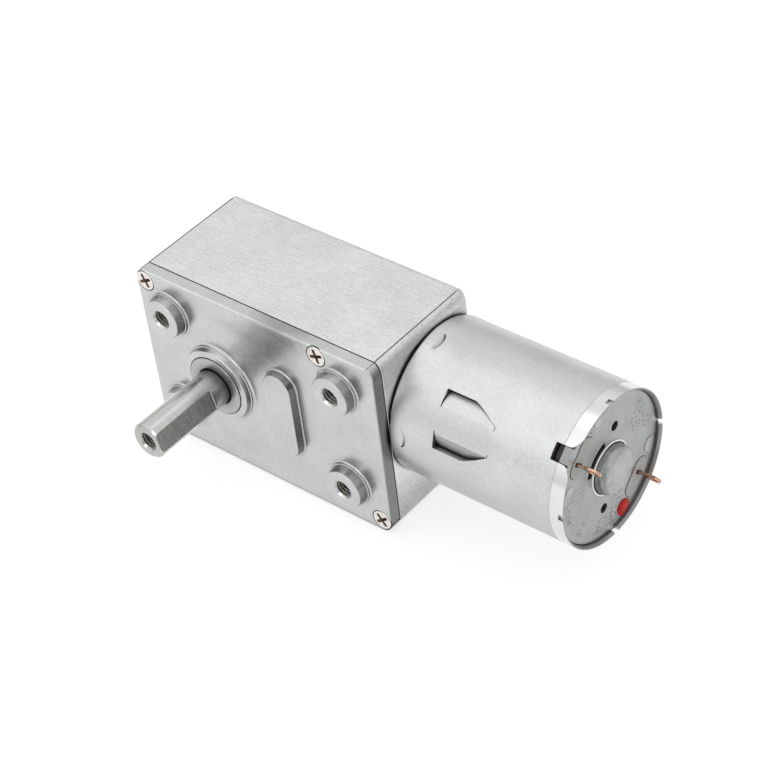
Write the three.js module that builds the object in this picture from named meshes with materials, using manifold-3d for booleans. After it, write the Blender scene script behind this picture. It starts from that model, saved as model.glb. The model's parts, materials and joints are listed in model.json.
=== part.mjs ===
// Right-angle worm gearmotor. Millimetres, +Z up, +X towards the motor's tail, -Y out along the
// output shaft. The origin is on the gearbox underside, below the output shaft's axis.
import * as THREE from "three";
import { mergeVertices } from "three/addons/utils/BufferGeometryUtils.js";
import Module from "manifold-3d";

const wasm = await Module();
wasm.setup();

// Gearbox casting
const BOX_X0 = -14.65, BOX_X1 = 31.35, BOX_H = 31.5, BOX_BACK = 8.5;
const SEAM = -11.8, COVER_FACE = -14, WALL = 2, CORNER_R = 2, BACK_FILLET = 1.3, FRONT_FILLET = 0.5;
const GAP = 0.05;
// Output shaft
const SHAFT_Z = 15.7, SHAFT_R = 3, SHAFT_TIP = -30.25, SHAFT_REAR = 6.2;
const FLAT_LENGTH = 12, FLAT_DEPTH = 0.5, FLAT_ANGLE = 15, TIP_HOLE_R = 1.25, TIP_HOLE_DEPTH = 8;
const BUSH_R = 5, BUSH_FACE = -15.4, RUNNING = 0.04;
// Threaded bosses and the pill-shaped rib on the cover
const BOSS_MID_X = 7.9, BOSS_MID_Z = 16.2, BOSS_PITCH_X = 33, BOSS_PITCH_Z = 18;
const BOSS_FACE = -16, BOSS_R = 3.25, BOSS_HOLE_R = 1.5, BOSS_HOLE_DEPTH = 3.9;
const RIB_X = 13.05, RIB_HALF = 5.1, RIB_R = 2.8, RIB_HEIGHT = 1.4;
// Cover screws, at x and z
const SCREWS = [[-12.85, 29.6], [20.9, 29.85], [29.58, 2.17], [-12.85, 2.17]];
const SCREW_HEAD_R = 1.65, SCREW_R = 0.95, SCREW_END = -5, PILLAR_R = 2.6;
// Gear train
const FLANK_STEPS = 2, PRESSURE = 20 * Math.PI / 180, FINE = 0.5, COARSE = 0.6, BACKLASH = 0.07;
const WORM_R = 2, WORM_X0 = 15.2, WORM_X1 = 24.8, WORM_MESH_X = 20, WHEEL_TEETH = 20;
const IDLER_TEETH = 26, OUTPUT_TEETH = 30, PINION_TEETH = 10, PIN_R = 1;
// Motor
const AXIS_Z = 17.85, CAN_R = 12.2, CAN_WALL = 0.9, CAN_X0 = 31.4, CAN_X1 = 62.15;
const ROTOR_R = 1, CORE_R = 8.6, MAGNET_IN = 9, MAGNET_OUT = 11.2, POLES = 3;
const MOTOR_ROLL = 44.5, GAP_ROLL = 32, PLATE_X = 61.35, PLATE_T = 1, PLATE_R = 11.7, RIM_R = 11.75;
const NICKS = [1, 91, 180, 270], SLOT_R = [4.4, 5.2], SLOT_DEG = [20, 80], HOLE_AT = 6.7, HOLE_DEG = 105;
const TAB_X0 = 39.45, TAB_BEND_X = 44.4, TAB_TIP_X = 48.9, TAB_W = 2.8, TAB_TILT = 24;
const TERMINAL_R = 9.3, TERMINAL_W = 1.6, TERMINAL_T = 0.4, TERMINAL_OUT = 3.85, NECK_W = 1.1;
const SHOULDER_T = 0.5, SHOULDER_OUT = 0.3;

const WHEEL_X = WORM_MESH_X;
const WHEEL_Z = AXIS_Z - WORM_R - WHEEL_TEETH * FINE / 2;
const IDLER_GAP = (PINION_TEETH + IDLER_TEETH) * FINE / 2;
const OUTPUT_GAP = (PINION_TEETH + OUTPUT_TEETH) * COARSE / 2;

// The idler's axis, where circles about the output shaft and the wheel cross
function idlerAxis() {
  const dx = WHEEL_X, dz = WHEEL_Z - SHAFT_Z, d = Math.hypot(dx, dz);
  const a = (OUTPUT_GAP ** 2 - IDLER_GAP ** 2 + d ** 2) / (2 * d);
  const h = Math.sqrt(Math.max(OUTPUT_GAP ** 2 - a ** 2, 0));
  return [(a * dx - h * dz) / d, SHAFT_Z + (a * dz + h * dx) / d];
}
const [IDLER_X, IDLER_Z] = idlerAxis();

const rad = (deg) => deg * Math.PI / 180;

function solid(geometry) {
  const bare = new THREE.BufferGeometry();
  bare.setAttribute("position", geometry.getAttribute("position").clone());
  if (geometry.index) bare.setIndex(geometry.index.clone());
  const merged = mergeVertices(bare, 1e-4);
  const p = merged.getAttribute("position").array, index = merged.index.array, tri = [];
  let volume = 0;
  const at = (i) => new THREE.Vector3(p[3 * i], p[3 * i + 1], p[3 * i + 2]);
  for (let i = 0; i < index.length; i += 3) {
    const [a, b, c] = [index[i], index[i + 1], index[i + 2]];
    if (a === b || b === c || c === a) continue;
    tri.push(a, b, c);
    volume += at(a).dot(at(b).cross(at(c)));
  }
  if (volume < 0) for (let i = 0; i < tri.length; i += 3) [tri[i], tri[i + 1]] = [tri[i + 1], tri[i]];
  return new wasm.Manifold(new wasm.Mesh({
    numProp: 3, vertProperties: new Float32Array(p), triVerts: new Uint32Array(tri),
  }));
}

const join = (first, ...rest) => rest.reduce((sum, one) => sum.add(one), first);
const cut = (first, ...rest) => rest.reduce((sum, one) => sum.subtract(one), first);

const group = new THREE.Group();
function node(name, body, color) {
  const mesh = body.getMesh(), g = new THREE.BufferGeometry();
  g.setAttribute("position", new THREE.BufferAttribute(new Float32Array(mesh.vertProperties), 3));
  g.setIndex(new THREE.BufferAttribute(new Uint32Array(mesh.triVerts), 1));
  const flat = g.toNonIndexed();
  flat.computeVertexNormals();
  const material = new THREE.MeshStandardMaterial({ color, metalness: 0.6, roughness: 0.4 });
  const made = new THREE.Mesh(flat, material);
  made.name = name;
  group.add(made);
}

// A body of revolution about +Y through (x, z); the profile is closed [radius, y] pairs
function turnY(profile, x, z, segments = 32) {
  const points = [...profile, profile[0]].map(([r, y]) => new THREE.Vector2(r, y));
  return solid(new THREE.LatheGeometry(points, segments).translate(x, 0, z));
}
// The same about the motor's axis; the profile is closed [radius, x] pairs
function turnX(profile, segments = 32) {
  const points = [...profile, profile[0]].map(([r, x]) => new THREE.Vector2(r, x));
  return solid(new THREE.LatheGeometry(points, segments).rotateZ(-Math.PI / 2).translate(0, 0, AXIS_Z));
}
const diskY = (r, y0, y1, x, z, segments = 24) =>
  turnY([[0, y0], [r, y0], [r, y1], [0, y1]], x, z, segments);
const tubeY = (r0, r1, y0, y1, x, z, segments = 24) =>
  turnY([[r0, y0], [r1, y0], [r1, y1], [r0, y1]], x, z, segments);
const diskX = (r, x0, x1, segments = 24) => turnX([[0, x0], [r, x0], [r, x1], [0, x1]], segments);
const tubeX = (r0, r1, x0, x1, segments = 32) =>
  turnX([[r0, x0], [r1, x0], [r1, x1], [r0, x1]], segments);

function box(x0, x1, y0, y1, z0, z1) {
  const g = new THREE.BoxGeometry(x1 - x0, y1 - y0, z1 - z0);
  return solid(g.translate((x0 + x1) / 2, (y0 + y1) / 2, (z0 + z1) / 2));
}
// A block at a radius from the motor's axis, at an angle up from -Y
function block(deg, x0, x1, r0, r1, width, offset = 0) {
  const g = new THREE.BoxGeometry(x1 - x0, r1 - r0, width);
  g.translate((x0 + x1) / 2, -(r0 + r1) / 2, offset).rotateX(-rad(deg)).translate(0, 0, AXIS_Z);
  return solid(g);
}
// A cylinder along +X at a radius from the motor's axis
function rod(deg, x0, x1, r, at, segments = 16) {
  const g = new THREE.CylinderGeometry(r, r, x1 - x0, segments).rotateZ(-Math.PI / 2);
  return solid(g.translate((x0 + x1) / 2, -at, 0).rotateX(-rad(deg)).translate(0, 0, AXIS_Z));
}
// A shape drawn in x and z, pushed out along Y, with its ends' edges rounded
function plate(shape, y0, y1, round = 0, steps = 1, segments = 2) {
  const g = new THREE.ExtrudeGeometry(shape, {
    depth: y1 - y0 - 2 * round, steps, curveSegments: segments, bevelEnabled: round > 0,
    bevelSize: round, bevelThickness: round, bevelOffset: -round, bevelSegments: 2,
  });
  return g.rotateX(Math.PI / 2).translate(0, y1 - round, 0);
}
function roundedRect(x0, x1, z0, z1, r) {
  const s = new THREE.Shape();
  s.absarc(x1 - r, z1 - r, r, 0, Math.PI / 2);
  s.absarc(x0 + r, z1 - r, r, Math.PI / 2, Math.PI);
  s.absarc(x0 + r, z0 + r, r, Math.PI, 1.5 * Math.PI);
  s.absarc(x1 - r, z0 + r, r, 1.5 * Math.PI, 2 * Math.PI);
  return s;
}
function pill(x, z, half, r) {
  const s = new THREE.Shape();
  s.absarc(x, z + half, r, 0, Math.PI);
  s.absarc(x, z - half, r, Math.PI, 2 * Math.PI);
  return s;
}

// Gears: involute teeth, centred on the phase angle, drawn in x and z
function gearShape(teeth, module, addendum, phase, bore) {
  const pitch = teeth * module / 2, base = pitch * Math.cos(PRESSURE);
  const tip = pitch + addendum * module, root = pitch - 1.15 * module;
  const involute = (a) => Math.tan(a) - a;
  const half = Math.PI / (2 * teeth) + involute(PRESSURE) - BACKLASH / pitch;
  const radii = root < base ? [root, base] : [root];
  for (let i = 1; i <= FLANK_STEPS; i++) radii.push(radii[0] < base
    ? base + (tip - base) * i / FLANK_STEPS : root + (tip - root) * i / FLANK_STEPS);
  const spread = (r) => half - (r > base ? involute(Math.acos(base / r)) : 0);
  const s = new THREE.Shape(), points = [];
  for (let k = 0; k < teeth; k++) {
    const mid = phase + 2 * Math.PI * k / teeth;
    for (const r of radii) points.push([r, mid - spread(r)]);
    for (const r of [...radii].reverse()) points.push([r, mid + spread(r)]);
  }
  points.forEach(([r, a], i) => i ? s.lineTo(r * Math.cos(a), r * Math.sin(a))
    : s.moveTo(r * Math.cos(a), r * Math.sin(a)));
  s.closePath();
  const sides = 28, wide = bore / Math.cos(Math.PI / sides), hole = new THREE.Path();
  hole.setFromPoints(Array.from({ length: sides }, (_, i) => new THREE.Vector2(
    wide * Math.cos(2 * Math.PI * i / sides), -wide * Math.sin(2 * Math.PI * i / sides))));
  s.holes.push(hole);
  return s;
}
function gear(teeth, module, addendum, phase, bore, y0, y1, x, z, twist = 0) {
  const g = plate(gearShape(teeth, module, addendum, phase, bore), y0, y1, 0, twist ? 2 : 1, 8);
  if (twist) {
    const p = g.getAttribute("position"), mid = (y0 + y1) / 2;
    for (let i = 0; i < p.count; i++) {
      const a = twist * (p.getY(i) - mid), u = p.getX(i), w = p.getZ(i);
      p.setX(i, u * Math.cos(a) + w * Math.sin(a));
      p.setZ(i, w * Math.cos(a) - u * Math.sin(a));
    }
  }
  return solid(g.translate(x, 0, z));
}

// Worm: one right-handed thread, wound as a strip of trapezoids about the motor's axis
function wormThread() {
  const lead = Math.PI * FINE, perTurn = 12;
  const count = Math.ceil((WORM_X1 - WORM_X0 + 2 * lead) / lead * perTurn);
  const crest = WORM_R + 0.8 * FINE, foot = WORM_R - 1.6 * FINE, halfPitch = lead / 4 - 0.12;
  const slope = Math.tan(PRESSURE), positions = [], index = [];
  const profile = [
    [foot, -halfPitch - (WORM_R - foot) * slope], [crest, -halfPitch + (crest - WORM_R) * slope],
    [crest, halfPitch - (crest - WORM_R) * slope], [foot, halfPitch + (WORM_R - foot) * slope],
  ];
  const firstTurn = Math.floor(-count / (2 * perTurn)) * perTurn;
  for (let n = 0; n <= count; n++) {
    const step = firstTurn + n, angle = 2 * Math.PI * step / perTurn - Math.PI / 2;
    for (const [r, s] of profile) {
      const x = WORM_MESH_X + lead * step / perTurn + s;
      positions.push(x, r * Math.cos(angle), AXIS_Z + r * Math.sin(angle));
    }
  }
  for (let n = 0; n < count; n++) for (let k = 0; k < 4; k++) {
    const a = 4 * n + k, b = 4 * n + (k + 1) % 4, c = a + 4, d = b + 4;
    index.push(a, b, c, b, d, c);
  }
  index.push(0, 2, 1, 0, 3, 2);
  const e = 4 * count;
  index.push(e, e + 1, e + 2, e, e + 2, e + 3);
  const g = new THREE.BufferGeometry();
  g.setAttribute("position", new THREE.BufferAttribute(new Float32Array(positions), 3));
  g.setIndex(index);
  return solid(g);
}

const bosses = [-0.5, 0.5].flatMap((i) => [-0.5, 0.5].map((j) =>
  [BOSS_MID_X + i * BOSS_PITCH_X, BOSS_MID_Z + j * BOSS_PITCH_Z]));

// Gear housing: an open box with corner pillars for the screws and seats for the pins
function housing() {
  const outer = roundedRect(BOX_X0, BOX_X1, 0, BOX_H, CORNER_R);
  const inner = roundedRect(BOX_X0 + WALL, BOX_X1 - WALL - 0.2, WALL, BOX_H - WALL, CORNER_R - 1);
  const back = BOX_BACK - WALL, long = 6;
  let body = solid(plate(outer, SEAM - long, BOX_BACK, BACK_FILLET));
  body = cut(body, box(BOX_X0 - 1, BOX_X1 + 1, SEAM - long - 1, SEAM, -1, BOX_H + 1));
  let cavity = solid(plate(inner, SEAM - 1, back));
  for (const [x, z] of SCREWS) cavity = cut(cavity, diskY(PILLAR_R, SEAM - 2, back + 1, x, z, 16));
  cavity = cut(cavity, diskY(BUSH_R + 1.2, 1.9, back + 1, 0, SHAFT_Z, 32),
    diskY(2.6, 3.3, back + 1, WHEEL_X, WHEEL_Z, 16), diskY(1.9, 3.3, back + 1, IDLER_X, IDLER_Z, 16));
  body = cut(body, cavity, diskY(BUSH_R + GAP, 1, back, 0, SHAFT_Z, 32),
    diskX(3.1, BOX_X1 - WALL - 1, BOX_X1 + 1));
  for (const [x, z] of SCREWS) body = cut(body, diskY(SCREW_R + GAP, SEAM - 1, SCREW_END + 0.5, x, z, 16));
  for (const [x, z] of [[WHEEL_X, WHEEL_Z], [IDLER_X, IDLER_Z]]) {
    body = cut(body, diskY(PIN_R + 0.02, 3, back + 1.05, x, z, 20));
  }
  return cut(body, rod(90, BOX_X1 - 4, BOX_X1 + 1, 1.3, 8.5), rod(-90, BOX_X1 - 4, BOX_X1 + 1, 1.3, 8.5));
}

// Cover: the plate that carries the bosses, the shaft's ring and the rib
function cover() {
  const outline = roundedRect(BOX_X0, BOX_X1, 0, BOX_H, CORNER_R), face = SEAM - GAP;
  let body = solid(plate(outline, COVER_FACE, SEAM + 2, FRONT_FILLET));
  body = cut(body, box(BOX_X0 - 1, BOX_X1 + 1, face, SEAM + 3, -1, BOX_H + 1));
  const ring = [[0, COVER_FACE + 0.5], [7.2, COVER_FACE + 0.5], [7.2, COVER_FACE], [6.4, COVER_FACE - 0.4],
    [6.05, COVER_FACE - 0.95], [5.5, COVER_FACE - 1.25], [0, COVER_FACE - 1.25]];
  body = join(body, turnY(ring, 0, SHAFT_Z, 32));
  const rib = new THREE.ExtrudeGeometry(pill(RIB_X, SHAFT_Z, RIB_HALF, RIB_R), {
    depth: RIB_HEIGHT - 0.3 + 1, curveSegments: 6, bevelEnabled: true,
    bevelSize: 0.25, bevelThickness: 0.3, bevelOffset: -0.25, bevelSegments: 1,
  }).rotateX(Math.PI / 2).translate(0, COVER_FACE + 1, 0);
  body = join(body, solid(rib));
  const foot = COVER_FACE + 0.5;
  const boss = [[0, foot], [4.1, foot], [4.1, COVER_FACE], [3.5, COVER_FACE - 0.4],
    [BOSS_R, BOSS_FACE + 0.2], [BOSS_R - 0.2, BOSS_FACE], [0, BOSS_FACE]];
  for (const [x, z] of bosses) body = join(body, turnY(boss, x, z, 20));
  const holeEnd = BOSS_FACE + BOSS_HOLE_DEPTH;
  for (const [x, z] of bosses) body = cut(body, diskY(BOSS_HOLE_R, BOSS_FACE - 1, holeEnd, x, z, 16));
  const sink = [[0, COVER_FACE - 1], [SCREW_HEAD_R + GAP, COVER_FACE - 1],
    [SCREW_HEAD_R + GAP, COVER_FACE + 0.15], [SCREW_R + 0.1, COVER_FACE + 0.95],
    [SCREW_R + 0.1, SEAM + 1], [0, SEAM + 1]];
  for (const [x, z] of SCREWS) body = cut(body, turnY(sink, x, z, 12));
  for (const [x, z] of [[WHEEL_X, WHEEL_Z], [IDLER_X, IDLER_Z]]) {
    body = cut(body, diskY(PIN_R + 0.02, SEAM - 1.05, SEAM + 1, x, z, 20));
  }
  return cut(body, diskY(BUSH_R + GAP, COVER_FACE - 3, SEAM + 1, 0, SHAFT_Z, 32));
}

function coverScrew(x, z) {
  const top = COVER_FACE + 0.04;
  const profile = [[0, top], [SCREW_HEAD_R, top], [SCREW_HEAD_R, top + 0.1], [SCREW_R, top + 0.8],
    [SCREW_R, SCREW_END], [0, SCREW_END]];
  const arm = 1.05, half = 0.2, depth = 0.7;
  return cut(turnY(profile, x, z, 16),
    box(x - arm, x + arm, top - 1, top + depth, z - half, z + half),
    box(x - half, x + half, top - 1, top + depth, z - arm, z + arm));
}

function outputShaft() {
  const edge = 0.4;
  let body = turnY([[0, SHAFT_TIP], [SHAFT_R - edge, SHAFT_TIP], [SHAFT_R, SHAFT_TIP + edge],
    [SHAFT_R, SHAFT_REAR - edge], [SHAFT_R - edge, SHAFT_REAR], [0, SHAFT_REAR]], 0, 0, 32);
  const slab = new THREE.BoxGeometry(SHAFT_R, FLAT_LENGTH + 2, 2 * SHAFT_R + 2);
  slab.translate(SHAFT_R - FLAT_DEPTH + SHAFT_R / 2, SHAFT_TIP - 2 + (FLAT_LENGTH + 2) / 2, 0);
  body = cut(body, solid(slab.rotateY(-rad(FLAT_ANGLE))));
  return cut(body, diskY(TIP_HOLE_R, SHAFT_TIP - 1, SHAFT_TIP + TIP_HOLE_DEPTH, 0, 0))
    .translate([0, 0, SHAFT_Z]);
}

// A tab pushed in out of the can: straight along its hinge, with one rounded free corner
function tabShape(grow) {
  const s = new THREE.Shape();
  s.moveTo(TAB_X0 + grow, -1);
  s.lineTo(TAB_X0 + grow, TAB_W - grow);
  s.lineTo(TAB_BEND_X, TAB_W - grow);
  s.quadraticCurveTo(TAB_TIP_X - 1.2, TAB_W * 0.8 - grow, TAB_TIP_X - grow, 0);
  s.lineTo(TAB_TIP_X - grow, -1);
  s.closePath();
  return s;
}
// side +1 has its free edge above the hinge, -1 below
function tabSolid(hinge, side, grow, tilt, depth, lift) {
  const g = new THREE.ExtrudeGeometry(tabShape(grow), { depth, curveSegments: 6, bevelEnabled: false });
  g.translate(0, 0, -depth).rotateX(-rad(tilt));
  if (side < 0) g.scale(1, -1, 1);
  g.rotateX(Math.PI / 2).translate(0, -CAN_R + lift, 0);
  return solid(g.rotateX(-rad(hinge)).translate(0, 0, AXIS_Z));
}
const TABS = [[40.2, 1], [23.2, -1], [220.2, 1], [203.2, -1]];

function motorCan() {
  const inner = CAN_R - CAN_WALL, x0 = CAN_X0, x1 = CAN_X1, seat = PLATE_X - PLATE_T - GAP;
  let body = turnX([[3.05, x0], [CAN_R - 1.1, x0], [CAN_R - 0.32, x0 + 0.32], [CAN_R, x0 + 1.1],
    [CAN_R, x1], [RIM_R, x1], [RIM_R, seat], [inner, seat], [inner, x0 + 1], [3.05, x0 + 1]], 48);
  const shell = tubeX(inner - 1.6, CAN_R, TAB_X0 - 2, TAB_TIP_X + 2, 48);
  for (const [hinge, side] of TABS) {
    const slot = tabSolid(hinge, side, 0, 0, 2, -0.6);
    const leaf = tabSolid(hinge, side, 0.35, TAB_TILT, 0.6, 0.08);
    body = join(cut(body, slot), leaf.intersect(shell));
  }
  body = cut(body, block(MOTOR_ROLL, x1 - 3.6, x1 + 1, inner - 1, CAN_R + 1, 2.6),
    block(MOTOR_ROLL, x1 - 0.7, x1 + 1, inner - 1, CAN_R + 1, 4.8));
  for (const deg of NICKS) body = cut(body, block(deg, x1 - 0.8, x1 + 1, inner - 1, CAN_R + 1, 1));
  return cut(body, rod(90, x0 - 1, x0 + 2, 1.25, 8.5), rod(-90, x0 - 1, x0 + 2, 1.25, 8.5));
}

function magnet(mid) {
  const span = rad(132), s = new THREE.Shape();
  s.absarc(0, 0, MAGNET_OUT, -span / 2, span / 2);
  s.absarc(0, 0, MAGNET_IN, span / 2, -span / 2, true);
  const g = new THREE.ExtrudeGeometry(s, { depth: 20, curveSegments: 12, bevelEnabled: false });
  g.rotateY(Math.PI / 2).rotateX(-Math.PI / 2);
  return solid(g.rotateX(-rad(mid)).translate(36, 0, AXIS_Z));
}

function armatureCore() {
  const x0 = 38, x1 = 51;
  let body = tubeX(ROTOR_R + 0.02, 3, x0, x1, 24);
  const s = new THREE.Shape(), spread = rad(50);
  s.absarc(0, 0, CORE_R, -spread, spread);
  s.absarc(0, 0, CORE_R - 1.1, spread, -spread, true);
  for (let i = 0; i < POLES; i++) {
    const turn = 360 * i / POLES;
    const g = new THREE.ExtrudeGeometry(s, { depth: x1 - x0, curveSegments: 5, bevelEnabled: false });
    g.rotateY(Math.PI / 2).rotateX(-Math.PI / 2).rotateX(-rad(turn)).translate(x0, 0, AXIS_Z);
    body = join(body, block(turn, x0, x1, 2.7, CORE_R - 0.6, 3.2), solid(g));
  }
  return cut(body, diskX(ROTOR_R + 0.02, x0 - 1, x1 + 1, 20));
}
const coil = (turn) => cut(block(turn, 36.6, 52.4, 3.4, 6.4, 6.2), block(turn, 37.95, 51.05, 2, 8, 3.3));

function commutator() {
  let body = tubeX(ROTOR_R + 0.02, 2.6, 53.6, 57.6, 24);
  for (let i = 0; i < POLES; i++) body = cut(body, block(60 + 360 * i / POLES, 54.4, 58, 2.1, 3, 0.35));
  return body;
}

function endPlate() {
  const x1 = PLATE_X, x0 = x1 - PLATE_T;
  let body = turnX([[0, x0], [PLATE_R, x0], [PLATE_R, x1], [4.3, x1], [4, x1 + 0.3],
    [3.75, x1 + 1.3], [2.9, x1 + 1.8], [0, x1 + 1.95]], 40);
  body = join(body, block(MOTOR_ROLL, x0, x1, 11, 12.1, 2.4),
    block(MOTOR_ROLL, x0 - 0.4, x0 + 0.2, 11.5, 12.1, 2.4));
  body = cut(body, diskX(2.85, x0 - 1, x1 + 1.1, 28), rod(HOLE_DEG, x0 - 1, x1 + 1, 0.65, HOLE_AT),
    rod(HOLE_DEG + 180, x0 - 1, x1 + 1, 0.65, HOLE_AT));
  const slot = new THREE.Shape();
  const [near, far] = SLOT_R, [from, to] = SLOT_DEG;
  slot.absarc(0, 0, far, -rad(to), -rad(from));
  slot.absarc(0, 0, near, -rad(from), -rad(to), true);
  const g = new THREE.ExtrudeGeometry(slot, { depth: 3, curveSegments: 7, bevelEnabled: false });
  g.rotateY(Math.PI / 2).rotateX(-Math.PI / 2).translate(x0 - 1, 0, AXIS_Z);
  body = cut(body, solid(g));
  for (const half of [0, 180]) body = cut(body, ovalPad(MOTOR_ROLL + half, x0 - 1, x1 + 1, GAP));
  return body;
}
// An oval prism along +X, long across the radius
function ovalPad(deg, x0, x1, grow) {
  const half = 1.95, r = 1.5 + grow, s = new THREE.Shape();
  s.absarc(half, 0, r, -Math.PI / 2, Math.PI / 2);
  s.absarc(-half, 0, r, Math.PI / 2, 1.5 * Math.PI);
  const g = new THREE.ExtrudeGeometry(s, { depth: x1 - x0, curveSegments: 5, bevelEnabled: false });
  g.rotateY(Math.PI / 2).translate(x0, -9, 0);
  return solid(g.rotateX(-rad(deg)).translate(0, 0, AXIS_Z));
}
const slotFor = (deg) => block(deg, 57, 63, TERMINAL_R - TERMINAL_W / 2 - GAP,
  TERMINAL_R + TERMINAL_W / 2 + GAP, SHOULDER_T + 2 * GAP);

function brushHolder() {
  const x1 = PLATE_X - PLATE_T - GAP;
  let body = tubeX(4.6, 11.2, x1 - 1.6, x1, 28);
  for (const half of [0, 180]) {
    body = join(body, ovalPad(MOTOR_ROLL + half, x1 - 0.5, PLATE_X + 0.12, 0));
  }
  return cut(body, slotFor(41), slotFor(221));
}
// A solder tag: a thin blade, narrow at its neck, with an eyelet, on a thicker shoulder that fills
// the holder's slot
function terminal(deg) {
  const x0 = 55, x1 = PLATE_X + TERMINAL_OUT, tip = 0.8, r0 = TERMINAL_R - TERMINAL_W / 2;
  const s = new THREE.Shape(), spare = (TERMINAL_W - NECK_W) / 2;
  s.moveTo(x0, -r0 - TERMINAL_W);
  s.lineTo(PLATE_X, -r0 - TERMINAL_W);
  s.lineTo(PLATE_X, -r0 - TERMINAL_W + spare);
  s.lineTo(x1 - 2.6, -r0 - TERMINAL_W + spare);
  s.lineTo(x1 - 2, -r0 - TERMINAL_W);
  s.lineTo(x1 - tip, -r0 - TERMINAL_W);
  s.quadraticCurveTo(x1, -r0 - TERMINAL_W, x1, -TERMINAL_R);
  s.quadraticCurveTo(x1, -r0, x1 - tip, -r0);
  s.lineTo(x1 - 2, -r0);
  s.lineTo(x1 - 2.6, -r0 - spare);
  s.lineTo(PLATE_X, -r0 - spare);
  s.lineTo(PLATE_X, -r0);
  s.lineTo(x0, -r0);
  s.closePath();
  const eye = new THREE.Path();
  eye.absarc(x1 - 1.05, -TERMINAL_R, 0.45, 0, 2 * Math.PI, true);
  s.holes.push(eye);
  const g = new THREE.ExtrudeGeometry(s, { depth: TERMINAL_T, curveSegments: 6, bevelEnabled: false });
  const blade = solid(g.translate(0, 0, -TERMINAL_T / 2).rotateX(-rad(deg)).translate(0, 0, AXIS_Z));
  return join(blade, block(deg, 57.5, PLATE_X + SHOULDER_OUT, r0, r0 + TERMINAL_W, SHOULDER_T));
}

function motorScrew(deg) {
  const head = rod(deg, 27.5, 29.1, 2.1, 8.5, 20);
  const slot = block(deg, 27, 28.2, 6.9, 10.1, 0.5);
  return cut(join(head, rod(deg, 29, 34, 1.2, 8.5, 16)), slot);
}

node("gear_housing", housing(), 0xa9abad);
node("gear_cover", cover(), 0xb9bbbb);
SCREWS.forEach(([x, z], i) => node(`cover_screw_${i + 1}`, coverScrew(x, z), 0xc8c6c0));
node("output_bush_front", tubeY(SHAFT_R + RUNNING, BUSH_R, BUSH_FACE, -12, 0, SHAFT_Z, 32), 0x9a958a);
node("output_bush_rear", tubeY(SHAFT_R + RUNNING, BUSH_R, 1.9, 6.4, 0, SHAFT_Z, 32), 0x9a958a);
node("wheel_pin", diskY(PIN_R, SEAM - 1, BOX_BACK - WALL + 1, WHEEL_X, WHEEL_Z, 20), 0xc4c6c8);
node("idler_pin", diskY(PIN_R, SEAM - 1, BOX_BACK - WALL + 1, IDLER_X, IDLER_Z, 20), 0xc4c6c8);
node("wheel_spacer", tubeY(PIN_R + RUNNING, 1.8, -11.75, -7.5, WHEEL_X, WHEEL_Z), 0xb0a890);
node("idler_spacer", tubeY(PIN_R + RUNNING, 1.7, -3.5, 3.2, IDLER_X, IDLER_Z), 0xb0a890);
node("idler_washer", tubeY(PIN_R + RUNNING, 2.2, -11.75, -11.4, IDLER_X, IDLER_Z), 0x8a8c8e);

node("output_shaft", outputShaft(), 0xcfd1d3);
const toIdler = Math.atan2(IDLER_Z - SHAFT_Z, IDLER_X);
const idlerToWheel = Math.atan2(WHEEL_Z - IDLER_Z, WHEEL_X - IDLER_X);
node("output_gear", gear(OUTPUT_TEETH, COARSE, 0.62, toIdler + Math.PI / OUTPUT_TEETH, SHAFT_R + 0.02,
  -11.4, -7.9, 0, SHAFT_Z), 0xb9b39a);
node("output_washer", tubeY(SHAFT_R + 0.02, 4.6, -11.9, -11.5, 0, SHAFT_Z, 32), 0x8a8c8e);
node("output_spacer", tubeY(SHAFT_R + 0.02, 4, -7.85, 1.8, 0, SHAFT_Z, 32), 0xb0b2b4);

const bore = PIN_R + RUNNING;
node("idler_gear", gear(IDLER_TEETH, FINE, 0.62, idlerToWheel + Math.PI / IDLER_TEETH, bore, -7.4, -3.6,
  IDLER_X, IDLER_Z), 0xc2bda6);
node("idler_pinion", gear(PINION_TEETH, COARSE, 0.9, toIdler + Math.PI, bore, -11.3, -7.45,
  IDLER_X, IDLER_Z), 0xb5b7b9);
const lean = FINE / (2 * WORM_R) / (WHEEL_TEETH * FINE / 2);
node("worm_wheel", gear(WHEEL_TEETH, FINE, 0.75, Math.PI / 2 + Math.PI / WHEEL_TEETH, bore, -3, 3,
  WHEEL_X, WHEEL_Z, lean), 0xc9a24a);
node("wheel_pinion", gear(PINION_TEETH, FINE, 0.9, idlerToWheel + Math.PI, bore, -7.4, -3.05,
  WHEEL_X, WHEEL_Z), 0xb5b7b9);

node("motor_shaft", diskX(ROTOR_R, 13.6, 62, 20), 0xc8cacc);
const wormBlank = tubeX(ROTOR_R + 0.02, WORM_R + FINE, WORM_X0, WORM_X1, 20);
const wormCore = tubeX(ROTOR_R + 0.02, WORM_R - 1.2 * FINE, WORM_X0, WORM_X1, 20);
node("worm", join(wormCore, wormThread().intersect(wormBlank)), 0xb0a060);
node("armature_core", armatureCore(), 0x6d7074);
for (let i = 0; i < POLES; i++) node(`armature_coil_${i + 1}`, coil(360 * i / POLES), 0xb5652f);
node("commutator", commutator(), 0xc0753f);
node("shaft_washer_front", tubeX(ROTOR_R + 0.02, 2.2, 33.8, 34.3, 24), 0x2f3033);
node("shaft_washer_rear", tubeX(ROTOR_R + 0.02, 2.2, 58.4, 58.9, 24), 0x2f3033);

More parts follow.
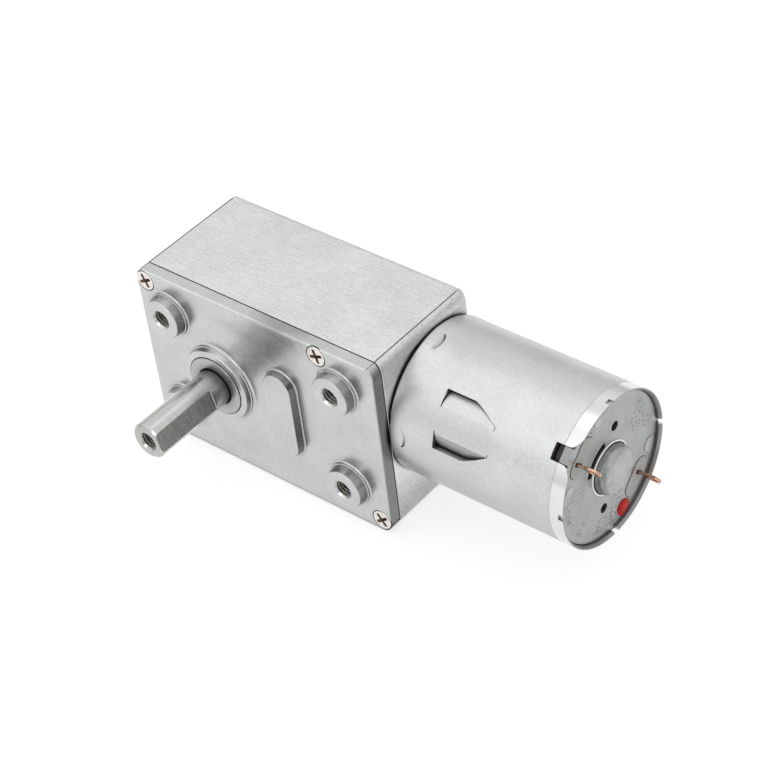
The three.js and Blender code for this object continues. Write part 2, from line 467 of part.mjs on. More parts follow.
node("motor_can", motorCan(), 0xc9cbcc);
node("magnet_upper", magnet(GAP_ROLL + 90), 0x2d2e31);
node("magnet_lower", magnet(GAP_ROLL - 90), 0x2d2e31);
node("motor_bearing_front", tubeX(ROTOR_R + RUNNING, 3, 29.3, 33.4, 32), 0xa58c52);
node("motor_bearing_rear", tubeX(ROTOR_R + RUNNING, 2.8, 59.6, 62.1, 28), 0xa58c52);
node("end_plate", endPlate(), 0xa4a6a6);
node("brush_holder", brushHolder(), 0xb6b3aa);
node("terminal_front", terminal(41), 0xc58b63);
node("terminal_rear", terminal(221), 0xc58b63);
for (const [name, deg] of [["front", 41], ["rear", 221]]) {
  node(`brush_arm_${name}`, block(deg, 54.9, 56.9, 4.5, 8.45, 0.3), 0xc58b63);
  node(`brush_${name}`, block(deg, 54.9, 56.9, 2.7, 4.45, 1.8), 0x35363a);
}
node("polarity_dot", rod(254, PLATE_X + 0.02, PLATE_X + 0.14, 1.4, 10.2, 20), 0xd6322c);
node("motor_screw_upper", motorScrew(90), 0xb8babc);
node("motor_screw_lower", motorScrew(-90), 0xb8babc);

export default group;
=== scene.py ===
"""A right-angle geared dc motor: die-cast gearbox, D-cut output shaft and a plated motor can.

Sizes are in millimetres until a piece is placed, and every angle round the motor is counted in
degrees from -Y upwards to +Z. Places come from the CAD nodes' boxes and from the joints' axes.
"""
import json
import math

import bmesh
import bpy
from mathutils import Matrix, Vector

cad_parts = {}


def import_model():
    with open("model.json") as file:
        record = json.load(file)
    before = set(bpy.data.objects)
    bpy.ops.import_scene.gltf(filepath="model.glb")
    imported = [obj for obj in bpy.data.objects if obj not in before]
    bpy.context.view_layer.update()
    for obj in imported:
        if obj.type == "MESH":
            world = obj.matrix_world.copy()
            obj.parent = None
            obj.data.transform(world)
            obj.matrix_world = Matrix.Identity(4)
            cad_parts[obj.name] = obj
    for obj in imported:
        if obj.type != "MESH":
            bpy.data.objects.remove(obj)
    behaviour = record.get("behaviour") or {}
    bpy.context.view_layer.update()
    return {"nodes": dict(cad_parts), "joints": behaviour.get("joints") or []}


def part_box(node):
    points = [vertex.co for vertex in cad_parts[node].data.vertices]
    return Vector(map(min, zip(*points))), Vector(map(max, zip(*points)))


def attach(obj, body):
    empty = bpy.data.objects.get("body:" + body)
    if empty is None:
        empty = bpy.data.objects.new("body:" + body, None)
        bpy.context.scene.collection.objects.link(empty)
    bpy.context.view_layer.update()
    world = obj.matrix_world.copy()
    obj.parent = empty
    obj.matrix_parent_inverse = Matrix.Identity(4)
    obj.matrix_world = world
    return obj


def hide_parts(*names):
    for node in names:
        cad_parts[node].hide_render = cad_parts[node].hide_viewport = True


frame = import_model()
MM = 0.001
SHARP = math.radians(26)


def corners(node):
    """A CAD node's lowest and highest corners, in millimetres."""
    low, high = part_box(node)
    return low / MM, high / MM


def joint_point(name):
    """A point on a joint's axis, in millimetres."""
    joint = next(j for j in frame["joints"] if j["name"] == name)
    return Vector(joint["pos_m"]) / MM


# Gearbox
BOX_LOW, BOX_HIGH = corners("gear_housing")
SEAM = BOX_LOW.y
COVER_THICK, COVER_GAP, WALL, CORNER_R = 2.2, 0.05, 2.0, 2.0
COVER_FACE = SEAM - COVER_THICK
MILLED_R, MILLED_OFF, CREASE = 2.6, 0.55, 0.22      # the top is milled, so its corners start with a crease
BACK_ROUND, FRONT_ROUND = 1.3, 0.42
GROOVE, GROOVE_HALF, SEAM_EDGE = 0.24, 0.07, 0.06   # the sunk groove where the cover meets the housing, painted near black as painted shade
BOSS_FACE = corners("gear_cover")[0].y
BOSS_MID, BOSS_PITCH = (7.9, 16.2), (33.0, 18.0)
BOSS_R, BOSS_FOOT_R, BOSS_HOLE_DEPTH = 3.25, 4.2, 3.9
RING_R, RING_FOOT_R, RING_HEIGHT = 6.1, 7.35, 1.25
FOOT, FOOT_FILLET, FOOT_STEP = COVER_FACE + 0.02, 0.42, 0.5   # bosses, ring and rib start inside the cover
SUNK = FOOT + 0.6
RIB_X, RIB_HALF, RIB_R, RIB_HEIGHT = 13.05, 5.1, 2.8, 1.4
POST_R, IDLER_POST_R, PIN_BORE_R, POST_FACE = 2.6, 1.9, 1.02, 3.3
SCREW_R, SCREW_BORE_R = 1.65, 1.0
M3_MINOR, M3_MAJOR, M3_PITCH = 1.23, 1.5, 0.5
# Output shaft
SHAFT = joint_point("output_spin")
SHAFT_LOW, SHAFT_HIGH = corners("output_shaft")
SHAFT_R = (SHAFT_HIGH.z - SHAFT_LOW.z) / 2
FLAT_LENGTH, FLAT_DEPTH, FLAT_ANGLE = 12.0, 0.5, 15.0
BUSH_LOW, BUSH_HIGH = corners("output_bush_front")
BUSH_R = (BUSH_HIGH.z - BUSH_LOW.z) / 2
RUNNING = 0.04                                      # the shaft's room in its bush
# Motor
AXIS_Z = joint_point("armature_spin").z
CAN_LOW, CAN_HIGH = corners("motor_can")
CAN_R = (CAN_HIGH.z - CAN_LOW.z) / 2
CAN_WALL, CAN_FRONT_R, CAN_HOLE_R, BAND, RIM_R = 0.9, 0.55, 3.05, 2.4, 11.75
MOTOR_SCREW_AT, MOTOR_SCREW_HOLE_R = 8.5, 1.3
PLATE_HIGH = corners("end_plate")[1]
PLATE_R, PLATE_T, HUB_HEIGHT, HUB_HOLE_R = 11.7, 1.0, 1.95, 2.85
PLATE_FACE = PLATE_HIGH.x - HUB_HEIGHT
NOTCH_ROLL, LUG_HALF = 44.5, 1.2                    # the rim's notch and the plate's lug in it
TERMINALS = {"terminal_front": 40.0, "terminal_rear": 222.0}
BLADE_AT, BLADE_W, NECK_W, BLADE_TWIST = 9.3, 1.6, 1.1, 22.0
NICKS = [1, 91, 180, 270]
PAD_AT, PAD_HALF, PAD_R, PAD_ROLL = 9.0, 1.65, 1.5, 46.4
VENTS, VENT_AT, VENT_R = (105, 285), 6.7, 0.78
SLOT_FROM, SLOT_SPAN, SLOT_INNER, SLOT_OUTER = 17, 64, 4.38, 5.48
STAKES = [(197, 10.3, 1.3), (78, 10.1, 0.75), (15.6, 9.7, 0.75)]   # angle, distance and radius
TAB_X, TAB_BEND, TAB_TIP, TAB_W, TAB_TIP_W, TAB_TILT = 39.45, 44.4, 48.9, 2.8, 0.5, 26.0
TABS = [(40.2, 1), (23.2, -1), (220.2, 1), (203.2, -1)]   # hinge angle, and the way it reaches
DENTS = [81.0, 5.7, 261.0, 185.7]
DASHES = 110                                        # short radial marks round the end plate


# ---------------------------------------------------------------- mesh helpers
def make(name, points, faces):
    """An object from points and faces, with its normals facing out."""
    mesh = bpy.data.meshes.new(name)
    mesh.from_pydata([tuple(p) for p in points], [], faces)
    bm = bmesh.new()
    bm.from_mesh(mesh)
    bmesh.ops.remove_doubles(bm, verts=bm.verts, dist=1e-5)
    bmesh.ops.recalc_face_normals(bm, faces=bm.faces)
    bm.to_mesh(mesh)
    bm.free()
    obj = bpy.data.objects.new(name, mesh)
    bpy.context.scene.collection.objects.link(obj)
    return obj


def loft(name, loops):
    """A skin over loops of equally many points, capped at both ends."""
    count = len(loops[0])
    points = [p for loop in loops for p in loop]
    faces = []
    for i in range(len(loops) - 1):
        a, b = i * count, (i + 1) * count
        for k in range(count):
            n = (k + 1) % count
            faces.append((a + k, a + n, b + n, b + k))
    faces += [tuple(range(count))[::-1], tuple(range(len(points) - count, len(points)))]
    return make(name, points, faces)


def even(start, sweep, steps):
    """Even steps through a stretch or a sweep, both ends included."""
    return [start + sweep * k / steps for k in range(steps + 1)]


def rounding(r, steps):
    """A quarter round: how far each of its loops lies from the face, and how far in from the side."""
    return [(r * (1 - math.sin(a)), r * (1 - math.cos(a))) for a in even(0, math.pi / 2, steps)]


def arc(x, z, r, y, turns):
    """Points of an arc in X and Z at a place along Y."""
    return [(x + r * math.cos(a), y, z + r * math.sin(a)) for a in turns]


def turned_xz(degrees):
    """Unit vectors at an angle in X and Z, and square to it."""
    a = math.radians(degrees)
    return Vector((math.cos(a), 0, math.sin(a))), Vector((-math.sin(a), 0, math.cos(a)))


def radial(degrees):
    """Unit vectors out from the motor's axis at an angle round it, and square to that."""
    a = math.radians(degrees)
    return Vector((0, -math.cos(a), math.sin(a))), Vector((0, math.sin(a), math.cos(a)))


def axis_far(c):
    """A point's distance from the motor's axis."""
    return math.hypot(c.y, c.z - AXIS_Z)


def hole_far(c, x, z):
    """A point's distance from an axis along Y."""
    return math.hypot(c.x - x, c.z - z)


def about_y(x, z):
    """Turns a radius, a place along Y and an angle into a point, about an axis along Y."""
    return lambda r, a, t: (x + r * math.cos(t), a, z + r * math.sin(t))


def about_x(r, a, t):
    """The same about the motor's axis."""
    return a, -r * math.cos(t), AXIS_Z + r * math.sin(t)


def revolve(name, profile, point, segments=96):
    """A body turned from a line of (radius, place) pairs that is closed or ends on the axis."""
    turns = even(0, 2 * math.pi, segments)[:-1]
    points, faces, rings = [], [], []
    for r, a in profile:
        if r < 1e-6:
            rings.append([len(points)] * segments)
            points.append(point(0, a, 0))
        else:
            rings.append(list(range(len(points), len(points) + segments)))
            points += [point(r, a, t) for t in turns]
    on_axis = profile[0][0] < 1e-6
    for i in range(len(rings) - (1 if on_axis else 0)):
        a, b = rings[i], rings[(i + 1) % len(rings)]
        for k in range(segments):
            n = (k + 1) % segments
            face = list(dict.fromkeys((a[k], a[n], b[n], b[k])))
            if len(face) > 2:
                faces.append(tuple(face))
    return make(name, points, faces)


def rounded(profile, steps=5):
    """Replaces each corner (r, a, radius) of a line by an arc; corners with no radius stay."""
    out = []
    for i, corner in enumerate(profile):
        here = Vector(corner[:2])
        radius = corner[2] if len(corner) > 2 else 0
        if not radius:
            out.append(tuple(here))
            continue
        before = (Vector(profile[i - 1][:2]) - here).normalized()
        after = (Vector(profile[(i + 1) % len(profile)][:2]) - here).normalized()
        half = before.angle(after) / 2
        centre = here + (before + after).normalized() * radius / math.sin(half)
        start = here + before * radius / math.tan(half) - centre
        end = here + after * radius / math.tan(half) - centre
        sweep = start.angle_signed(end)
        for t in even(0, -sweep, steps):
            out.append((centre.x + start.x * math.cos(t) - start.y * math.sin(t),
                        centre.y + start.x * math.sin(t) + start.y * math.cos(t)))
    return out


def hollow_curve(r0, a0, r1, a1, steps=6):
    """Points of a concave fillet from (r0, a0), flat along r, to (r1, a1), flat along a."""
    return [(r0 + (r1 - r0) * (2 * t * (1 - t) + t * t), a0 + (a1 - a0) * t * t) for t in even(0, 1, steps)]


def modify(obj, kind, **settings):
    """Applies one modifier to an object's mesh."""
    modifier = obj.modifiers.new(kind.lower(), kind)
    for key, value in settings.items():
        setattr(modifier, key, value)
    bpy.context.view_layer.update()
    mesh = bpy.data.meshes.new_from_object(obj.evaluated_get(bpy.context.evaluated_depsgraph_get()))
    obj.modifiers.clear()
    obj.data = mesh


def combine(obj, tools, operation):
    for tool in tools:
        modify(obj, "BOOLEAN", operation=operation, solver="EXACT", object=tool)
        bpy.data.objects.remove(tool)


def union(obj, *tools):
    combine(obj, tools, "UNION")


def cut(obj, *tools):
    combine(obj, tools, "DIFFERENCE")


def place(obj, name, slot, material, *nodes, body="gearbox_and_motor"):
    """Finishes a piece: cleans, scales and shades its mesh and puts it on its body."""
    obj.name = obj.data.name = name
    bm = bmesh.new()
    bm.from_mesh(obj.data)
    bmesh.ops.remove_doubles(bm, verts=bm.verts, dist=2e-4)
    bmesh.ops.dissolve_degenerate(bm, edges=bm.edges, dist=2e-4)
    bm.to_mesh(obj.data)
    bm.free()
    obj.data.transform(Matrix.Scale(MM, 4))
    obj.data.shade_smooth()
    obj.data.set_sharp_from_angle(angle=SHARP)
    weighted = obj.modifiers.new("normals", "WEIGHTED_NORMAL")
    weighted.keep_sharp = True
    obj.data.materials.clear()
    obj.data.materials.append(material)
    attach(obj, body)
    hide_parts(*nodes)


def paint_where(obj, material, test):
    """Gives the faces that pass a test of their centre and normal, in millimetres, a second material."""
    obj.data.materials.append(material)
    index = len(obj.data.materials) - 1
    for face in obj.data.polygons:
        if test(face.center / MM, face.normal):
            face.material_index = index


# ---------------------------------------------------------------- materials
class Nodes:
    """Short ways to add nodes to a node tree."""

    def __init__(self, tree):
        self.tree = tree

    def add(self, kind, settings=None, **inputs):
        node = self.tree.nodes.new("ShaderNode" + kind)
        for key, value in (settings or {}).items():
            setattr(node, key, value)
        for key, value in inputs.items():
            socket = node.inputs[int(key[1:])] if key[0] == "i" and key[1:].isdigit() else node.inputs[key]
            if isinstance(value, bpy.types.Node):
                value = value.outputs[0]
            if isinstance(value, bpy.types.NodeSocket):
                self.tree.links.new(value, socket)
            else:
                socket.default_value = value
        return node

    def math(self, operation, a, b=0.0):
        return self.add("Math", {"operation": operation}, i0=a, i1=b)

    def times(self, a, b):
        return self.math("MULTIPLY", a, b)

    def minus(self, a, b):
        return self.math("SUBTRACT", a, b)

    def length(self, a, b):
        return self.math("SQRT", self.total(self.times(a, a), self.times(b, b)))

    def centred(self, value, amount):
        """The value moved to swing about nought by that amount either way."""
        return self.times(self.minus(value, 0.5), 2 * amount)

    def total(self, *values):
        result = values[0]
        for value in values[1:]:
            result = self.math("ADD", result, value)
        return result

    def ramp(self, value, low, high, low_to=0.0, high_to=1.0):
        return self.add("MapRange", {"interpolation_type": "SMOOTHSTEP"}, Value=value,
                        i1=low, i2=high, i3=low_to, i4=high_to)

    def mix(self, factor, a, b):
        """Two colours mixed by a factor."""
        node = self.add("Mix", {"data_type": "RGBA"})
        for socket, value in ((node.inputs[0], factor), (node.inputs[6], a), (node.inputs[7], b)):
            if isinstance(value, bpy.types.Node):
                value = value.outputs[0]
            if isinstance(value, bpy.types.NodeSocket):
                self.tree.links.new(value, socket)
            else:
                socket.default_value = (*value[:3], 1)
        return node.outputs[2]

    def axes(self, vector):
        split = self.add("SeparateXYZ", Vector=vector)
        return [split.outputs[axis] for axis in "XYZ"]


class Shader(Nodes):
    """A node material around one Principled shader, with coordinates in millimetres."""

    def __init__(self, name, **fixed):
        self.material = bpy.data.materials.new(name)
        self.material.use_nodes = True
        super().__init__(self.material.node_tree)
        self.bsdf = next(n for n in self.tree.nodes if n.type == "BSDF_PRINCIPLED")
        for key, value in fixed.items():
            self.bsdf.inputs[key.replace("_", " ")].default_value = value
        self.coords = self.add("TexCoord")
        self.place = self.add("VectorMath", {"operation": "SCALE"}, Vector=self.coords.outputs["Object"],
                              Scale=1 / MM)

    def noise(self, scale=1.0, stretch=(1, 1, 1), detail=4.0, rough=0.6, shift=0.0, turn=0.0):
        spot = self.add("Mapping", Vector=self.place, Scale=stretch, Location=(shift, shift, shift),
                        Rotation=(turn, 0, 0))
        return self.add("TexNoise", Vector=spot, Scale=scale, Detail=detail, Roughness=rough).outputs["Fac"]

    def shade(self, color, factor):
        """The colour with its brightness multiplied."""
        value = factor.outputs[0] if isinstance(factor, bpy.types.Node) else factor
        return self.add("HueSaturation", Color=color, Value=value).outputs[0]

    def occlusion_shade(self, color, dark, distance, strength):
        """Paints shade into a colour where the surface is sunk or shut in, from ambient occlusion."""
        open_air = self.add("AmbientOcclusion", {"samples": 8}, Distance=distance * MM).outputs["AO"]
        return self.mix(self.times(self.ramp(open_air, 0.3, 0.92, 1.0, 0.0), strength), color, dark)

    def link(self, socket, value):
        if isinstance(value, bpy.types.Node):
            value = value.outputs[0]
        self.tree.links.new(value, self.bsdf.inputs[socket])

    def bump(self, height, microns):
        self.link("Normal", self.add("Bump", Strength=1.0, Distance=microns * 1e-6, Height=height))


def metal(name, color, rough, metallic=1.0, streak=(0.5, 6, 6), streaks=0.05, grain=5.0, grains=0.04,
          blotch=0.12, blotches=0.05, bump=6.0, swing=0.08, crevice_shade=(0.10, 0.10, 0.10), shade_reach=1.2,
          shade_strength=0.8, specks=0.0, side_shading=0.0, flank_shading=0.0, dark_reflection=None, turn=0.0, shade_ramp=None):
    """Worked metal: streaks from the tool, fine grain, slow blotches of tone, and painted shade in the
    crevices.

    side_shading paints shade on faces turned away from Y, or paints light on them where it is negative;
    flank_shading paints shade at both ends of faces turned to +X and paints light between them; specks adds
    small dark pits; dark_reflection is a painted reflection, a soft dark patch in X and Z; shade_ramp paints
    shade as a ramp of the tone along an axis.
    """
    s = Shader(name, Metallic=metallic)
    lines = s.noise(1.0, streak, 5, 0.7, turn=math.radians(turn))
    fine = s.noise(grain, detail=3, rough=0.7, shift=3.1)
    slow = s.noise(blotch, detail=3, rough=0.5, shift=7.7)
    tone = s.total(1.0, s.centred(lines, streaks), s.centred(fine, grains), s.centred(slow, blotches))
    px, py, pz = s.axes(s.place)
    nx, ny, nz = s.axes(s.coords.outputs["Normal"])
    if specks:
        pits = s.ramp(s.noise(2.3, detail=2, rough=0.4, shift=21.0), 0.72, 0.80, 1.0, 1.0 - specks)
        tone = s.times(tone, pits)
    # painted shade on faces turned away from Y, or painted light on them when the amount is negative
    if side_shading:
        share = s.ramp(py, COVER_FACE - 0.15, COVER_FACE + 0.15, 0.3, 1.0)
        turned = s.total(s.math("ABSOLUTE", ny), s.times(s.math("ABSOLUTE", nz), share))
        tone = s.times(tone, s.ramp(turned, 0.25, 0.95, 1.0 - side_shading, 1.0))
    # painted shade at the top and bottom of faces turned to +X, and painted light on their middle
    if flank_shading:
        ends = s.math("MAXIMUM", s.ramp(pz, 2.0, 12.0, 1.0, 0.0),
                      s.ramp(pz, BOX_HIGH.z - 9.0, BOX_HIGH.z - 3.0, 0.0, 0.7))
        mid_light = 0.2
        change = s.minus(s.times(ends, flank_shading + mid_light), mid_light)
        tone = s.minus(tone, s.times(s.ramp(nx, 0.7, 0.98), change))
    # painted shade: the tone ramps darker along one axis
    if shade_ramp:
        tone = s.times(tone, s.ramp((px, py, pz)[shade_ramp[0]], *shade_ramp[1:]))
    # a painted reflection: a soft dark patch in X and Z
    if dark_reflection:
        (x, z), (long, wide), angle, depth = dark_reflection
        c, n = math.cos(math.radians(angle)), math.sin(math.radians(angle))
        dx, dz = s.minus(px, x), s.minus(pz, z)
        u = s.total(s.times(dx, c / long), s.times(dz, n / long))
        v = s.total(s.times(dz, c / wide), s.times(dx, -n / wide))
        ragged = s.total(s.length(u, v), s.centred(s.noise(0.35, detail=3, shift=5.0), 0.5))
        tone = s.times(tone, s.ramp(ragged, 0.2, 1.25, 1.0 - depth, 1.0))
    shaded = s.shade((*color, 1), tone)
    # painted shade: the base colour darkens in crevices by ambient occlusion
    s.link("Base Color", s.occlusion_shade(shaded, crevice_shade, shade_reach, shade_strength) if shade_strength else shaded)
    s.link("Roughness", s.total(rough, s.centred(lines, swing), s.centred(fine, swing / 2)))
    s.bump(s.total(s.times(lines, 0.6), s.times(fine, 0.4)), bump)
    return s.material


cast_brushed = metal("cast_brushed", (0.68, 0.685, 0.68), 0.34, streak=(0.45, 2.6, 2.6), streaks=0.27,
                     grain=2.6, grains=0.31, blotch=0.14, blotches=0.16, bump=28, swing=0.12, specks=0.3,
                     # flank_shading paints shade on the housing's right face near its top and bottom, and
                     # paints light between
                     shade_reach=0.7, flank_shading=0.34)
# side_shading paints shade on the cover's faces turned away from Y: its sides and the walls of its bosses,
# ring and rib
cast_satin = metal("cast_satin", (0.555, 0.563, 0.56), 0.27, streak=(0.9, 0.9, 0.9), streaks=0.08,
                   grain=2.8, grains=0.13, blotch=0.2, blotches=0.13, bump=14, swing=0.08,
                   crevice_shade=(0.05, 0.053, 0.056), shade_reach=1.4, shade_strength=0.95, specks=0.25, side_shading=0.6,
                   # dark_reflection paints a reflection of something dark on the upper part of the cover's
                   # face
                   dark_reflection=((11.8, 29.2), (9.5, 5.0), 28.0, 0.38))
can_zinc = metal("can_zinc", (0.585, 0.595, 0.60), 0.38, streak=(1.1, 1.6, 1.6), streaks=0.09, grain=2.9,
                 grains=0.22, blotch=0.14, blotches=0.13, bump=18, swing=0.08, specks=0.3, shade_reach=0.7,
                 # shade_ramp paints shade on the lower part of the can
                 shade_ramp=(2, AXIS_Z - 8.0, AXIS_Z + 4.0, 0.80, 1.0))
# a darker copy of the can's zinc for the leaves of the lower tabs: painted shade
tab_shade = metal("tab_shade", (0.37, 0.376, 0.38), 0.36, streak=(1.1, 1.6, 1.6), streaks=0.12, bump=10,
                 shade_reach=0.9)
nickel = metal("nickel", (0.76, 0.72, 0.685), 0.26, streak=(2, 2, 2), streaks=0.05, blotch=0.9,
               blotches=0.14, bump=4, shade_reach=0.5, crevice_shade=(0.12, 0.08, 0.06))
# dark brown for the screws' cross recesses
screw_recess_dark = metal("screw_recess_dark", (0.11, 0.065, 0.045), 0.6, 0.3, streaks=0.2, blotch=1.5, blotches=0.5,
                   shade_strength=0)
# near black painted shade for gaps: the seam groove, the rings round the screw heads and the bush, and the
# end plate's slot
gap_shade = metal("gap_shade", (0.045, 0.045, 0.045), 0.6, 0.3, streaks=0.2, blotch=0.6, blotches=0.5,
                  shade_strength=0)
# dark grey painted shade for the crease along the housing's top and the inner wall of the can's rim
crease_shade = metal("crease_shade", (0.14, 0.135, 0.125), 0.5, 0.5, streaks=0.4, blotch=0.5, blotches=0.7,
                    shade_strength=0)
# a darker copy of the metal for the inside of the threaded holes: painted shade
thread_shade = metal("thread_shade", (0.25, 0.24, 0.22), 0.3, streak=(2, 2, 2), bump=4,
                     crevice_shade=(0.03, 0.03, 0.03))
# dark brown for the chamfer of the bush's bore
bore_chamfer_dark = metal("bore_chamfer_dark", (0.16, 0.145, 0.13), 0.42, 0.4, streaks=0.15, blotch=0.8, blotches=0.4, shade_strength=0)
# dark brown painted shade for the deep end of the rim's notch
notch_shade = metal("notch_shade", (0.13, 0.105, 0.09), 0.5, 0.5, streak=(2, 2, 2), streaks=0.2, blotch=0.9,
              blotches=0.3, shade_strength=0)
bush_metal = metal("bush_metal", (0.44, 0.44, 0.435), 0.34, streak=(2, 2, 2), grains=0.16, grain=5,
                   bump=10, shade_reach=2.6, crevice_shade=(0.08, 0.07, 0.06), shade_strength=0.9)
# side_shading below nought paints light on the shaft's round surface
shaft_steel = metal("shaft_steel", (0.45, 0.445, 0.435), 0.22, streak=(0.15, 6, 0.15), streaks=0.28,
                    grain=4, grains=0.1, blotches=0.06, bump=9, swing=0.1, crevice_shade=(0.07, 0.06, 0.055),
                    # shade_ramp paints shade on the shaft close to the bush, and shade_reach spreads its
                    # painted crevice shade there
                    shade_reach=4.0, side_shading=-0.28, shade_ramp=(1, BUSH_LOW.y - 3.4, BUSH_LOW.y - 0.2, 1.0, 0.42))
plain_steel = metal("plain_steel", (0.66, 0.665, 0.67), 0.28, streak=(1, 8, 1), bump=3)
gear_steel = metal("gear_steel", (0.56, 0.55, 0.51), 0.38, streak=(1, 5, 1), bump=5)
gear_brass = metal("gear_brass", (0.80, 0.60, 0.26), 0.32, streak=(2, 5, 2), bump=4,
                   crevice_shade=(0.10, 0.07, 0.03))
sintered = metal("sintered", (0.58, 0.47, 0.28), 0.5, streak=(3, 3, 3), grains=0.15, grain=7, bump=9)
lamination = metal("lamination", (0.34, 0.35, 0.37), 0.4, streak=(9, 0.3, 0.3), streaks=0.35, bump=9)
copper_wire = metal("copper_wire", (0.74, 0.34, 0.17), 0.3, streak=(0.5, 7, 7), streaks=0.3, bump=14)
copper = metal("copper", (0.62, 0.38, 0.27), 0.22, streak=(1, 4, 4), streaks=0.2, blotch=0.9,
               blotches=0.45, bump=8, crevice_shade=(0.12, 0.055, 0.035), shade_reach=1.0, shade_strength=0.9)
ferrite = metal("ferrite", (0.07, 0.07, 0.075), 0.62, 0.1, streak=(2, 2, 2), grains=0.2, bump=8)
carbon = metal("carbon", (0.05, 0.05, 0.055), 0.55, 0.2, streak=(2, 2, 2), grains=0.2, bump=6)
fibre = metal("fibre", (0.05, 0.045, 0.04), 0.6, 0.0, streak=(2, 2, 2), grains=0.2, bump=5)
# a smoother, lighter zinc: the smoother finish is real, the lighter tone is a painted highlight
band_smooth_and_highlight = metal("band_smooth_and_highlight", (0.70, 0.705, 0.705), 0.17, streak=(5, 0.5, 0.5), streaks=0.07, bump=4,
                  shade_reach=0.6)
# a darker copy of the zinc for the can's rim and the end plate's edge and lug: painted shade
rim_shade = metal("rim_shade", (0.27, 0.274, 0.278), 0.30, streak=(2, 2, 2), blotch=0.4, blotches=0.15,
                 bump=6, crevice_shade=(0.06, 0.06, 0.06), shade_reach=1.0)
# the flat's tool marks are real; its darker tone than the shaft's steel is painted shade
milled_flat_and_shade = metal("milled_flat_and_shade", (0.29, 0.286, 0.275), 0.26, streak=(0.3, 4.6, 0.4), streaks=0.65,
                    grains=0.12, blotches=0.06, bump=40, swing=0.12, crevice_shade=(0.10, 0.09, 0.08), turn=28)


def pad_plastic():
    s = Shader("pad_plastic", Metallic=0.0)
    fine = s.noise(3.0, detail=3)
    slow = s.noise(0.6, detail=2, shift=4.0)
    tone = s.total(1.0, s.centred(fine, 0.08), s.centred(slow, 0.10))
    # painted shade from ambient occlusion in the crevices
    s.link("Base Color", s.occlusion_shade(s.shade((0.31, 0.308, 0.298, 1), tone), (0.06, 0.06, 0.06), 0.5, 0.7))
    s.link("Roughness", s.total(0.5, s.centred(fine, 0.1)))
    s.bump(fine, 6)
    return s.material


def red_paint():
    s = Shader("red_paint", Metallic=0.0, Specular_IOR_Level=0.12)
    slow = s.noise(0.9, detail=3)
    s.link("Base Color", s.mix(s.ramp(slow, 0.35, 0.65), (0.19, 0.008, 0.006), (0.46, 0.012, 0.009)))
    s.link("Roughness", s.total(0.34, s.centred(slow, 0.12)))
    s.bump(slow, 60)
    return s.material


def stippled_plate():
    """The end plate: grey zinc with short radial dashes near its rim and scattered punch dots; its hub gets
    a painted highlight and painted shade, and its crevices painted shade.
    """
    s = Shader("stippled_plate", Metallic=0.9)
    fine = s.noise(4.0, detail=4, rough=0.7)
    slow = s.noise(0.25, detail=3, shift=2.0)
    patch = s.noise(0.28, detail=2, shift=11.3)
    _, y, pz = s.axes(s.place)
    z = s.minus(pz, AXIS_Z)
    radius = s.length(y, z)
    flat = s.add("CombineXYZ", i0=y, i1=z)

    def within(inner, outer):
        return s.times(s.ramp(radius, *inner), s.ramp(radius, *outer, 1.0, 0.0))

    def dots(size, loose, vector, near, far):
        cells = s.add("TexVoronoi", {"feature": "F1", "voronoi_dimensions": "2D"}, Scale=size,
                      Randomness=loose, Vector=vector)
        return s.ramp(cells.outputs["Distance"], near, far, 1.0, 0.0)

    beat = s.math("FRACT", s.times(s.math("ARCTAN2", z, y), DASHES / (2 * math.pi)))
    dash = s.ramp(s.math("ABSOLUTE", s.minus(beat, 0.5)), 0.08, 0.26, 0.7, 0.0)
    dashes = s.times(s.times(dash, within((9.7, 10.2), (10.6, 11.0))), s.ramp(patch, 0.44, 0.58))
    punched = s.times(dots(1.25, 0.8, flat, 0.15, 0.26), s.ramp(patch, 0.50, 0.58))
    tilted = s.add("Mapping", Vector=flat, Scale=(1.7, 1.45, 1), Rotation=(0, 0, 0.15))
    faint = s.times(dots(1.0, 0.16, tilted, 0.16, 0.32),
                    s.ramp(s.noise(0.3, detail=1, shift=31.0), 0.38, 0.6, 0.2, 0.6))
    field = s.times(s.math("MAXIMUM", punched, faint), within((5.4, 6.2), (10.3, 10.9)))
    mark = s.math("MAXIMUM", field, dashes)
    hub = s.ramp(radius, 3.75, 3.95, 1.0, 0.0)
    # on the hub: the brushed streaks are real, the lift towards the middle is a painted highlight, and the
    # darkening of faces turned to -Y is painted shade
    brushed = s.centred(s.noise(1.0, (3.0, 3.4, 0.7), 4, 0.7, shift=9.0), 0.55)
    brushed_and_painted_light = s.total(brushed, s.ramp(radius, 0.6, 2.6, 0.15, 0.0),
                  s.ramp(s.axes(s.coords.outputs["Normal"])[1], -0.8, -0.25, -0.38, 0.0))
    tone = s.total(1.0, s.centred(fine, 0.10), s.centred(slow, 0.16), s.times(mark, -0.5), s.times(hub, brushed_and_painted_light))
    # painted shade from ambient occlusion in the crevices
    s.link("Base Color", s.occlusion_shade(s.shade((0.39, 0.397, 0.40, 1), tone), (0.05, 0.05, 0.05), 0.45, 0.85))
    s.link("Roughness", s.total(0.40, s.centred(fine, 0.1)))
    s.bump(s.total(s.times(fine, 0.3), s.times(mark, -1.2)), 26)
    return s.material


